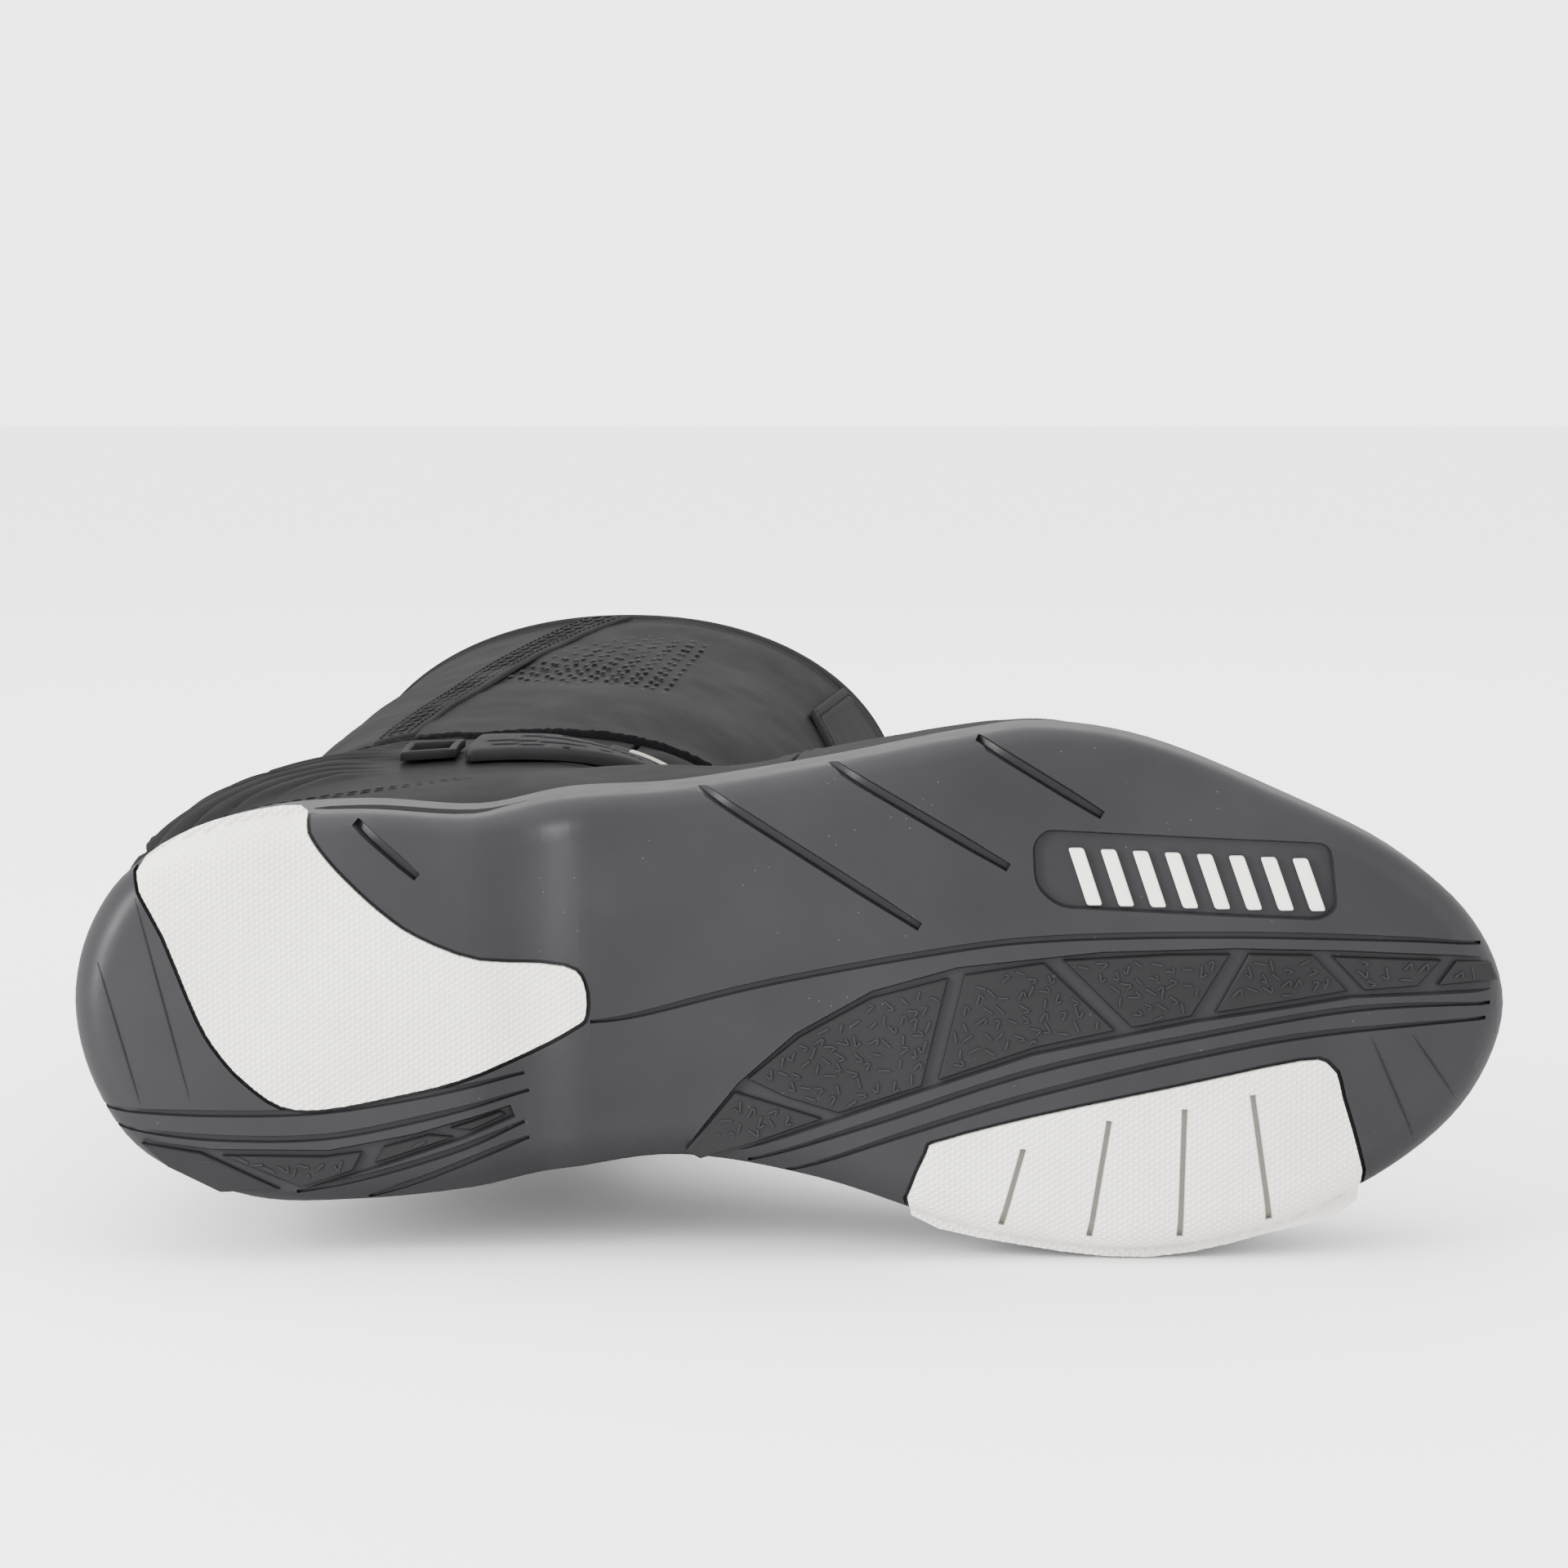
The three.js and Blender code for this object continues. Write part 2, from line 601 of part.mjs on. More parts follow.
// The flap below it bends with the ankle. Seen from the inner side: distance from the heel, then
// height as a share of the ankle height.
const ankleFlapOutline = stretched([
  [76, 0.435],
  [118, 0.417],
  [126, 0.47],
  [127, 0.574],
  [124, 1.026],
  [126, 1.496],
  [40, 1.217],
  [56, 0.852],
]).map(([x, share]) => [x, share * ankleHeight]);
const sidePrism = (points, from, to) => {
  const shape = new THREE.Shape(points.map(([x, z]) => new THREE.Vector2(x, z)));
  const geometry = new THREE.ExtrudeGeometry(shape, { depth: to - from, bevelEnabled: false });
  return solidOf(geometry.rotateX(Math.PI / 2).translate(0, to, 0));
};
const ankleFlapDrop = 2; // nearer to the leather than the flap above it
const flapShell = sheet({
  turns: [45, 135],
  along: [5, flapStart - 3 * seamRow],
  depths: [flapIn - ankleFlapDrop, flapOut - ankleFlapDrop],
});
const ankleFlap = solidOf(flapShell).intersect(sidePrism(ankleFlapOutline, 0, far));
add("ankle_flap", geometryOf(largest(ankleFlap)), "leather");

// ---- Zip slider and its pull, at the top of the chain ----

const zipTop = bootPoint(15.2, zipTurn, 0);
const zipFoot = bootPoint(12.6, zipTurn, 0);
const zipLine = zipTop.clone().sub(zipFoot).normalize();
const zipOut = new THREE.Vector3(0, 1, 0).addScaledVector(zipLine, -zipLine.y).normalize();
const zipSide = new THREE.Vector3().crossVectors(zipLine, zipOut);
const zipFrame = new THREE.Matrix4().makeBasis(zipSide, zipLine, zipOut);

function onZip(geometry, along, out) {
  const place = zipTop.clone().addScaledVector(zipLine, along).addScaledVector(zipOut, out);
  return geometry.applyMatrix4(zipFrame).translate(place.x, place.y, place.z);
}

function roundedPlate(width, length, thickness, corner, holeRadius) {
  const [w, l] = [width / 2, length / 2];
  const shape = new THREE.Shape();
  shape.moveTo(-w, -l + corner).absarc(-w + corner, -l + corner, corner, Math.PI, 1.5 * Math.PI);
  shape.absarc(w - corner, -l + corner, corner, 1.5 * Math.PI, 2 * Math.PI);
  shape.absarc(w - corner, l - corner, corner, 0, Math.PI / 2);
  shape.absarc(-w + corner, l - corner, corner, Math.PI / 2, Math.PI);
  if (holeRadius) {
    const hole = new THREE.Path().absarc(0, l - 2 * holeRadius, holeRadius, 0, 2 * Math.PI);
    shape.holes.push(hole);
  }
  return new THREE.ExtrudeGeometry(shape, { depth: thickness, bevelEnabled: false, curveSegments: 5 });
}

const slider = roundedPlate(sliderWidth, sliderLength, sliderOut - sliderIn, 3, 0);
add("zip_slider", onZip(slider, 0, sliderIn), "zip_metal");
const pull = roundedPlate(pullWidth, pullLength, pullOut - pullIn, 0.48 * pullWidth, pullHole);
add("zip_pull", onZip(pull, pullPivot - pullLength / 2, pullIn), "zip_metal");

// ---- Laid on its inner side, on the floor under the middle of its box ----

const laid = new THREE.Group();
boot.rotation.x = -Math.PI / 2;
laid.add(boot);
laid.updateMatrixWorld(true);
const box = new THREE.Box3().setFromObject(laid, true);
boot.position.set(-(box.min.x + box.max.x) / 2, -(box.min.y + box.max.y) / 2, -box.min.z);

export default laid;
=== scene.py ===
import json
import math
import random
import bmesh
import bpy
import numpy as np
from mathutils import Matrix, Vector, noise


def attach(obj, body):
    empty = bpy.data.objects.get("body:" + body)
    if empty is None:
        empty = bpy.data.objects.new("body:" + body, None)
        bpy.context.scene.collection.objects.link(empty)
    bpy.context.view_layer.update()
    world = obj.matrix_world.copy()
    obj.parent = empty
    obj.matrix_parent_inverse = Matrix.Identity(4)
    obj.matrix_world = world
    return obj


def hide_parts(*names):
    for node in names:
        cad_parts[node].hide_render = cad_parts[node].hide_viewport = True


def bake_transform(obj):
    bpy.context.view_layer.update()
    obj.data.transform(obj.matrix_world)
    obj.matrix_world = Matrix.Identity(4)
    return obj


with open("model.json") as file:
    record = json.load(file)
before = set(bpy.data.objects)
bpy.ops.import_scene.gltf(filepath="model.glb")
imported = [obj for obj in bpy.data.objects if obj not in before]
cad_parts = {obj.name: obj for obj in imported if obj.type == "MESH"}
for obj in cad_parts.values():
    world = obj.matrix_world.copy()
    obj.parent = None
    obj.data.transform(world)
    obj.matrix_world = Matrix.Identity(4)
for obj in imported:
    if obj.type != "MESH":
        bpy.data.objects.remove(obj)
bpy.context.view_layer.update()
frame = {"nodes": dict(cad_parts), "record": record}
bpy.ops.object.select_all(action="DESELECT")

# The boot is drawn standing, in millimetres: x from the heel to the toe, y to the inner side, z up.
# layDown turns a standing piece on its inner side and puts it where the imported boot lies.
mm = 0.001
treadMark = {"x": 78, "y": -27}
treadMount = next(m for m in frame["record"]["mounts"] if m["name"] == "heel_tread")
heelCorner = Vector(treadMount["pos_m"]) - Vector((treadMark["x"], 0, -treadMark["y"])) * mm
layDown = Matrix.Translation(heelCorner) @ Matrix.Rotation(-math.pi / 2, 4, "X") @ Matrix.Scale(mm, 4)


def laid(x, y, z):
    return layDown @ Vector((x, y, z))


def lerp(a, b, t):
    return a + (b - a) * t


def clamp(v, low=0.0, high=1.0):
    return max(low, min(high, v))


def smooth(a, b, v):
    t = clamp((v - a) / (b - a))
    return t * t * (3 - 2 * t)


def deselect():
    bpy.ops.object.select_all(action="DESELECT")


def only(piece):
    deselect()
    piece.select_set(True)
    bpy.context.view_layer.objects.active = piece


def meshPiece(name, points, faces, smoothed=True):
    mesh = bpy.data.meshes.new(name)
    mesh.from_pydata([tuple(p) for p in points], [], faces)
    mesh.polygons.foreach_set("use_smooth", [smoothed] * len(mesh.polygons))
    piece = bpy.data.objects.new(name, mesh)
    bpy.context.scene.collection.objects.link(piece)
    return piece


def tidyNormals(piece):
    only(piece)
    bpy.ops.object.mode_set(mode="EDIT")
    bpy.ops.mesh.select_all(action="SELECT")
    bpy.ops.mesh.remove_doubles(threshold=0.002)
    bpy.ops.mesh.normals_make_consistent(inside=False)
    bpy.ops.object.mode_set(mode="OBJECT")
    return piece


def chooseFaces(piece, test):
    # goes into edit mode with only the faces that pass the test selected
    if bpy.context.mode != "OBJECT":
        bpy.ops.object.mode_set(mode="OBJECT")
    only(piece)
    bpy.ops.object.mode_set(mode="EDIT")
    bpy.ops.mesh.select_mode(type="FACE")
    bpy.ops.mesh.select_all(action="DESELECT")
    bpy.ops.object.mode_set(mode="OBJECT")
    for face in piece.data.polygons:
        face.select = test(face)
    bpy.ops.object.mode_set(mode="EDIT")


def ringsPiece(name, rings):
    # a closed tube through rings of equal count, with both ends filled
    count = len(rings[0])
    points = [p for ring in rings for p in ring]
    faces = []
    for r in range(len(rings) - 1):
        for k in range(count):
            a, b = r * count + k, r * count + (k + 1) % count
            faces.append((a, b, b + count, a + count))
    faces.append(tuple(reversed(range(count))))
    faces.append(tuple(range((len(rings) - 1) * count, len(rings) * count)))
    return tidyNormals(meshPiece(name, points, faces, False))


def joined(name, pieces):
    deselect()
    for piece in pieces:
        piece.select_set(True)
    bpy.context.view_layer.objects.active = pieces[0]
    bpy.ops.object.join()
    piece = bpy.context.view_layer.objects.active
    piece.name = name
    deselect()
    return piece


def applied(piece, kind, **settings):
    only(piece)
    modifier = piece.modifiers.new(kind.lower(), kind)
    for key, value in settings.items():
        setattr(modifier, key, value)
    bpy.ops.object.modifier_apply(modifier=modifier.name)
    return piece


def cut(piece, tool, operation="DIFFERENCE", keepTool=False):
    applied(piece, "BOOLEAN", object=tool, operation=operation, solver="EXACT")
    if not keepTool:
        bpy.data.objects.remove(tool)
    return piece


def curveThrough(points, steps=8, closed=False):
    # a smooth line through a few points
    count = len(points)
    line = []
    for i in range(count if closed else count - 1):
        pick = (lambda k: points[k % count]) if closed else (lambda k: points[max(0, min(count - 1, k))])
        a, b, c, d = (Vector(pick(i + k)) for k in (-1, 0, 1, 2))
        for step in range(steps):
            t = step / steps
            line.append((2 * b + (c - a) * t + (2 * a - 5 * b + 4 * c - d) * t ** 2
                         + (3 * b - a - 3 * c + d) * t ** 3) / 2)
    return line if closed else line + [Vector(points[-1])]


def roundedCorners(points, radius, steps=4):
    rounded = []
    count = len(points)
    for k in range(count):
        here = Vector(points[k])
        back, on = Vector(points[k - 1]) - here, Vector(points[(k + 1) % count]) - here
        reach = min(radius, back.length / 2.2, on.length / 2.2)
        a, b = here + back.normalized() * reach, here + on.normalized() * reach
        for step in range(steps + 1):
            t = step / steps
            rounded.append(a.lerp(here, t).lerp(here.lerp(b, t), t))
    return rounded


def area(points):
    return sum(points[k - 1][0] * points[k][1] - points[k][0] * points[k - 1][1]
               for k in range(len(points))) / 2


def grown(points, gap):
    side = 1 if area(points) > 0 else -1
    count = len(points)
    moved = []
    for k in range(count):
        here, back, on = Vector(points[k][:2]), Vector(points[k - 1][:2]), Vector(points[(k + 1) % count][:2])
        a, b = (here - back).normalized(), (on - here).normalized()
        mitre = Vector((a.y + b.y, -a.x - b.x)).normalized()
        moved.append(here + mitre * side * gap / max(mitre.dot(Vector((a.y, -a.x))), 0.5))
    return moved


def inside(points, x, y):
    hit = False
    for k in range(len(points)):
        ax, ay = points[k - 1][0], points[k - 1][1]
        bx, by = points[k][0], points[k][1]
        if (ay > y) != (by > y) and x < (bx - ax) * (y - ay) / (by - ay) + ax:
            hit = not hit
    return hit


def filledOutline(name, points, low, high):
    # a filled circle whose rim is moved to the outline, extruded in edit mode
    bpy.ops.mesh.primitive_circle_add(vertices=len(points), radius=1, fill_type="NGON", location=(0, 0, 0))
    piece = bpy.context.active_object
    piece.name = name
    ordered = points if area(points) > 0 else list(reversed(points))
    for vertex, point in zip(piece.data.vertices, ordered):
        vertex.co = (point[0], point[1], low)
    bpy.ops.object.mode_set(mode="EDIT")
    bpy.ops.mesh.select_all(action="SELECT")
    bpy.ops.mesh.extrude_region_move(TRANSFORM_OT_translate={"value": (0, 0, high - low)})
    bpy.ops.mesh.select_all(action="SELECT")
    bpy.ops.mesh.normals_make_consistent(inside=False)
    bpy.ops.object.mode_set(mode="OBJECT")
    return piece


def finished(piece, body, material, replaced=(), angle=35):
    # lays a standing piece down and hands it to its body
    piece.data.transform(layDown)
    only(piece)
    if angle:
        bpy.ops.object.shade_smooth_by_angle(angle=math.radians(angle))
    piece.data.materials.clear()
    piece.data.materials.append(material)
    if body:
        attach(piece, body)
    if replaced:
        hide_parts(*replaced)
    deselect()
    return piece


def addCamera():
    view = {"lens": 102.2, "sensor": 36, "distance": 0.927, "elevation": 6.0, "x": 149.6, "y": -46.6}
    camera = bpy.data.cameras.new("camera")
    camera.lens = view["lens"]
    camera.sensor_width = view["sensor"]
    holder = bpy.data.objects.new("camera", camera)
    bpy.context.scene.collection.objects.link(holder)
    tilt = math.radians(view["elevation"])
    target = laid(view["x"], view["y"], 0)
    holder.location = target + Vector((0, -math.cos(tilt), math.sin(tilt))) * view["distance"]
    holder.rotation_euler = (math.pi / 2 - tilt, 0, 0)
    bpy.context.scene.camera = holder


def addLight(name, place, size, power, aim=(0, -0.05, 0.05)):
    light = bpy.data.lights.new(name, "AREA")
    light.shape = "RECTANGLE"
    light.size, light.size_y = size
    light.energy = power
    holder = bpy.data.objects.new(name, light)
    bpy.context.scene.collection.objects.link(holder)
    holder.location = place
    holder.rotation_euler = (Vector(aim) - Vector(place)).to_track_quat("-Z", "Y").to_euler()


def addStudio():
    studio = {"floor": 14, "floorColour": (0.83, 0.825, 0.83, 1), "sky": (0.985, 0.98, 0.985, 1),
              "skyPower": 4.0}
    bpy.ops.mesh.primitive_plane_add(size=studio["floor"], location=(0, 0, 0))
    floor = bpy.context.active_object
    floor.name = "studio_floor"
    material = bpy.data.materials.new("studio_paper")
    material.use_nodes = True
    shader = material.node_tree.nodes["Principled BSDF"]
    shader.inputs["Base Color"].default_value = studio["floorColour"]
    shader.inputs["Roughness"].default_value = 0.9
    floor.data.materials.append(material)
    world = bpy.data.worlds.new("studio")
    world.use_nodes = True
    bpy.context.scene.world = world
    sky = world.node_tree.nodes["Background"]
    sky.inputs["Color"].default_value = studio["sky"]
    sky.inputs["Strength"].default_value = studio["skyPower"]
    addLight("top_softbox", (-0.3, 0.1, 1.5), (1.6, 1.2), 12)
    addLight("left_softbox", (-1.1, -1.0, 0.45), (0.45, 0.9), 50, (-0.12, -0.15, 0.05))
    addLight("right_softbox", (1.6, -0.7, 0.8), (0.9, 0.9), 6)
    addLight("back_softbox", (0.2, 1.6, 1.1), (1.4, 0.8), 8)
    deselect()


addCamera()
addStudio()
print("camera and studio in place")


def baseMaterial(name, colour, roughness, **sockets):
    material = bpy.data.materials.new(name)
    material.use_nodes = True
    shader = material.node_tree.nodes["Principled BSDF"]
    shader.inputs["Base Color"].default_value = (*colour, 1)
    shader.inputs["Roughness"].default_value = roughness
    for key, value in sockets.items():
        shader.inputs[key.replace("_", " ")].default_value = value
    return material


class Finish:
    # small helper for wiring one material's nodes
    def __init__(self, name, colour, roughness, **sockets):
        self.material = baseMaterial(name, colour, roughness, **sockets)
        self.tree = self.material.node_tree
        self.shader = self.tree.nodes["Principled BSDF"]
        self.place = self.node("ShaderNodeTexCoord").outputs["Object"]

    def node(self, kind, values=None, **settings):
        made = self.tree.nodes.new(kind)
        for key, value in settings.items():
            setattr(made, key, value)
        for key, value in (values or {}).items():
            if hasattr(value, "is_output"):
                self.tree.links.new(value, made.inputs[key])
            else:
                made.inputs[key].default_value = value
        return made

    def noise(self, scale, detail=3, roughness=0.5):
        values = {"Vector": self.place, "Scale": scale, "Detail": detail, "Roughness": roughness}
        return self.node("ShaderNodeTexNoise", values).outputs["Fac"]

    def cells(self, scale, feature="F1", output="Distance"):
        values = {"Vector": self.place, "Scale": scale}
        return self.node("ShaderNodeTexVoronoi", values, feature=feature).outputs[output]

    def ramp(self, value, stops):
        made = self.node("ShaderNodeValToRGB", {"Fac": value})
        made.color_ramp.elements[0].position = stops[0][0]
        made.color_ramp.elements[0].color = (*stops[0][1], 1)
        made.color_ramp.elements[1].position = stops[-1][0]
        made.color_ramp.elements[1].color = (*stops[-1][1], 1)
        for position, colour in stops[1:-1]:
            made.color_ramp.elements.new(position).color = (*colour, 1)
        return made.outputs["Color"]

    def math(self, operation, a, b=0.0):
        made = self.node("ShaderNodeMath", operation=operation)
        for socket, value in zip(made.inputs, (a, b)):
            if hasattr(value, "is_output"):
                self.tree.links.new(value, socket)
            else:
                socket.default_value = value
        return made.outputs[0]

    def mapped(self, value, low, high):
        values = {"Value": value, "To Min": low, "To Max": high}
        return self.node("ShaderNodeMapRange", values).outputs["Result"]

    def bump(self, height, strength, distance, under=None):
        values = {"Height": height, "Strength": strength, "Distance": distance * mm}
        if under:
            values["Normal"] = under
        return self.node("ShaderNodeBump", values).outputs["Normal"]

    def link(self, output, socket):
        self.tree.links.new(output, self.shader.inputs[socket])
        return self

    def grain(self, normal):
        self.link(normal, "Normal")
        self.link(normal, "Coat Normal")


def rubberMaterial(name, dark, light, roughness=0.5, sheen=0.4):
    # satin moulded rubber with faint flow marks, fine grain and specks of dust
    finish = Finish(name, dark, 0.8, Specular_IOR_Level=0, Coat_Weight=sheen, Coat_Roughness=roughness)
    drift = finish.noise(22, 4)
    specks = finish.cells(420)
    dusty = finish.math("LESS_THAN", specks, 0.05)
    shade = finish.ramp(drift, [(0.3, dark), (0.7, light)])
    dust = finish.math("MULTIPLY", dusty, finish.math("GREATER_THAN", finish.noise(60, 2), 0.56))
    mix = finish.node("ShaderNodeMix", {"Factor": finish.math("MULTIPLY", dust, 0.1)}, data_type="RGBA")
    finish.tree.links.new(shade, mix.inputs[6])
    mix.inputs[7].default_value = (0.5, 0.5, 0.5, 1)
    finish.link(mix.outputs[2], "Base Color")
    finish.link(finish.mapped(finish.noise(160, 3), roughness - 0.07, roughness + 0.1), "Coat Roughness")
    finish.grain(finish.bump(finish.noise(1800, 2), 0.25, 0.05))
    return finish.material


def paleRubberMaterial():
    finish = Finish("cream_rubber", (0.76, 0.74, 0.69), 0.72, Specular_IOR_Level=0.35)
    drift = finish.noise(35, 5, 0.6)
    finish.link(finish.ramp(drift, [(0.25, (0.52, 0.505, 0.465)), (0.7, (0.61, 0.60, 0.56))]), "Base Color")
    finish.link(finish.bump(finish.noise(2500, 2), 0.2, 0.04), "Normal")
    return finish.material


def leatherMaterial(name, dark, light, roughness=0.42, grain=900, depth=0.09, creases=0.25):
    # full-grain leather: small pebbles, pores, long soft creases and worn, paler high spots
    finish = Finish(name, dark, 0.8, Specular_IOR_Level=0, Coat_Weight=0.09, Coat_Roughness=roughness)
    pebbles = finish.cells(grain, "SMOOTH_F1")
    pores = finish.cells(grain * 2.3)
    drift = finish.noise(28, 4, 0.55)
    finish.link(finish.ramp(drift, [(0.32, dark), (0.75, light)]), "Base Color")
    finish.link(finish.mapped(finish.noise(90, 4), roughness - 0.08, roughness + 0.14), "Coat Roughness")
    large = finish.bump(finish.noise(55, 5, 0.6), creases, 0.5)
    middle = finish.bump(pebbles, 0.5, depth, large)
    finish.grain(finish.bump(pores, 0.25, depth * 0.4, middle))
    return finish.material


def textileMaterial(name, colour, scale=1400):
    finish = Finish(name, colour, 0.95, Sheen_Weight=0.04, Sheen_Roughness=0.5, Specular_IOR_Level=0)
    loops = finish.cells(scale, "SMOOTH_F1")
    finish.link(finish.ramp(loops, [(0.0, tuple(c * 1.7 for c in colour)), (0.6, colour)]), "Base Color")
    finish.link(finish.bump(loops, 0.8, 0.3), "Normal")
    return finish.material


def metalMaterial():
    finish = Finish("lacquered_metal", (0.035, 0.035, 0.037), 0.32, Metallic=0.85)
    finish.link(finish.bump(finish.noise(900, 2), 0.12, 0.03), "Normal")
    return finish.material


materials = {
    "rubber": rubberMaterial("sole_rubber", (0.0105, 0.0105, 0.0114), (0.0155, 0.0155, 0.0168), 0.36, 0.24),
    "foam": rubberMaterial("foam_core", (0.01, 0.01, 0.01), (0.014, 0.014, 0.014), 0.6, 0.1),
    "tread": rubberMaterial("tread_rubber", (0.0055, 0.0054, 0.0059), (0.0095, 0.0093, 0.010), 0.45, 0.24),
    "cream": paleRubberMaterial(),
    "leather": leatherMaterial("black_leather", (0.0066, 0.0064, 0.0067), (0.0108, 0.0105, 0.0109)),
    "softLeather": leatherMaterial("soft_leather", (0.0080, 0.0078, 0.0082), (0.0128, 0.0125, 0.0130), 0.5,
                                   1100, 0.12, 0.4),
    "plastic": leatherMaterial("guard_plastic", (0.0085, 0.0085, 0.009), (0.013, 0.013, 0.0138), 0.36, 2600,
                               0.03, 0.05),
    "thread": textileMaterial("sewing_thread", (0.006, 0.006, 0.0065), 5000),
    "textile": textileMaterial("knitted_lining", (0.008, 0.008, 0.009)),
    "pile": textileMaterial("hook_and_loop_pile", (0.004, 0.004, 0.0045), 900),
    "metal": metalMaterial(),
    "badge": rubberMaterial("beige_trim", (0.16, 0.145, 0.12), (0.21, 0.19, 0.16), 0.35),
    # darker beige for the bottoms of the pad slots: painted shade in the slots
    "slot": baseMaterial("slot_painted_shade", (0.13, 0.12, 0.105), 0.8),
    # near-black for the holes and the gap in the loop: painted shade
    "hole": baseMaterial("painted_hole_shade", (0.0015, 0.0015, 0.0015), 1.0),
}
print("materials ready")

for name, node in frame["nodes"].items():
    slotName = next(s["material_slot"] for s in frame["record"]["subparts"] if s["node"] == name)
    kinds = {"rubber": "rubber", "pale_rubber": "cream", "leather": "leather", "flex_leather": "softLeather",
             "guard_plastic": "plastic", "textile": "textile", "pile": "pile", "zip_metal": "metal",
             "badge": "badge"}
    if slotName in kinds:
        node.data.materials.clear()
        node.data.materials.append(materials[kinds[slotName]])


planRows = [  # distance from the heel, outer and inner half width
    (4, 17, 18), (15, 30, 33), (37, 38, 42), (60, 40, 42.5), (84, 39, 40), (104, 43, 36), (128, 45, 33),
    (157, 50, 38), (187, 56, 48), (205, 58, 51.5), (227, 54.5, 53), (253, 44, 48), (279, 31, 36),
    (296, 16, 21),
]
sole = {
    "length": 303, "edgeRadius": 8, "rimTop": 37,
    "rimLine": [(-5, 35), (40, 35), (90, 33), (130, 26), (170, 23), (230, 22), (260, 24), (285, 28),
                (310, 29)],
    "trayInset": 9, "trayFloor": 17, "breastBack": 83, "breastFront": 109, "breastDepth": 2.3,
    "springStart": 236, "spring": 10,
}
outer = [(x, -out) for x, out, into in planRows]
inner = [(x, into) for x, out, into in reversed(planRows)]
planLine = [p.to_2d() for p in curveThrough([Vector((x, y, 0)) for x, y in
            [(0, 0), *outer, (sole["length"], 2), *inner]], 6, True)]


def edgeDistance(x, y):
    here = Vector((x, y))
    best = 1e9
    for k in range(len(planLine)):
        a, b = planLine[k - 1], planLine[k]
        span = b - a
        t = clamp((here - a).dot(span) / max(span.length_squared, 1e-9))
        best = min(best, (here - a - span * t).length)
    return best if inside(planLine, x, y) else -best


def edgeRise(x, y):
    # height of the flat tread's rounded edge
    radius = sole["edgeRadius"]
    reach = clamp(radius - edgeDistance(x, y), 0, radius * 0.995)
    return radius - math.sqrt(radius ** 2 - reach ** 2)


def treadRise(x):
    # the arch cut before the heel and the spring of the toe
    rise = 0
    if sole["breastBack"] < x < sole["breastFront"]:
        t = (x - sole["breastBack"]) / (sole["breastFront"] - sole["breastBack"])
        rise = sole["breastDepth"] * math.sin(math.pi * t) ** 2
    if x > sole["springStart"]:
        rise = sole["spring"] * ((x - sole["springStart"]) / (sole["length"] - sole["springStart"])) ** 2
    return rise


bendLines = [*range(83, 110, 2), *range(236, 303, 5)]


def bent(piece, divide=True):
    # divides a flat-built sole piece across its length, then lifts it to the tread's true line
    low = min(v.co.x for v in piece.data.vertices)
    high = max(v.co.x for v in piece.data.vertices)
    if divide:
        only(piece)
        bpy.ops.object.mode_set(mode="EDIT")
        for x in bendLines:
            if low < x < high:
                bpy.ops.mesh.select_all(action="SELECT")
                bpy.ops.mesh.bisect(plane_co=(x, 0, 0), plane_no=(1, 0, 0))
        bpy.ops.object.mode_set(mode="OBJECT")
    for vertex in piece.data.vertices:
        fade = 1 - smooth(8, 26, vertex.co.z)
        vertex.co.z += treadRise(vertex.co.x) * fade
    return piece


def rimHeight(x):
    line = sole["rimLine"]
    for (ax, az), (bx, bz) in zip(line, line[1:]):
        if x <= bx:
            return lerp(az, bz, smooth(ax, bx, x))
    return line[-1][1]


def soleBlank():
    # the outline is extruded, its tread edge bevelled round, and the tray for the foot let in
    blank = filledOutline("outsole", planLine, 0, sole["rimTop"])
    mesh = blank.data
    chooseFaces(blank, lambda face: face.normal.z < -0.9)
    bpy.ops.mesh.bevel(offset=sole["edgeRadius"], segments=6, affect="EDGES")
    chooseFaces(blank, lambda face: face.normal.z > 0.9)
    bpy.ops.mesh.inset(thickness=sole["trayInset"])
    drop = sole["trayFloor"] - sole["rimTop"]
    bpy.ops.mesh.extrude_region_move(TRANSFORM_OT_translate={"value": (0, 0, drop)})
    bpy.ops.object.mode_set(mode="OBJECT")
    for vertex in mesh.vertices:
        if vertex.co.z > sole["rimTop"] - 1:
            vertex.co.z = rimHeight(vertex.co.x)
    return blank


def grooveTool(points, width, depth, taper=0.0, follow=True):
    # a wedge-sided channel under a line, deepest along its middle
    line = [Vector(p[:2]) for p in points]
    rings = []
    for k, here in enumerate(line):
        along = (line[min(k + 1, len(line) - 1)] - line[max(k - 1, 0)]).normalized()
        across = Vector((-along.y, along.x))
        ends = min(k, len(line) - 1 - k) / max(len(line) - 1, 1)
        half = width / 2 * (1 - taper * (1 - smooth(0, 0.25, ends)))
        rise = edgeRise(here.x, here.y) if follow else 0
        section = [(-half - 0.3, -1.2), (half + 0.3, -1.2), (half * 0.6, depth), (-half * 0.6, depth)]
        rings.append([Vector((here.x + across.x * u, here.y + across.y * u, rise + v)) for u, v in section])
    return ringsPiece("groove", rings)


def straight(a, b, step=4):
    count = max(2, int((Vector(b) - Vector(a)).length / step))
    return [Vector(a).lerp(Vector(b), k / count) for k in range(count + 1)]


def stepPrism(name, points, low, high, lip):
    # a block with chamfered edges at its low side
    shrunk = grown(points, -lip)
    rings = [[Vector((p.x, p.y, z)) for p in line] for line, z in
             ((shrunk, low), (grown(points, 0), low + lip), (grown(points, 0), high))]
    return ringsPiece(name, rings)


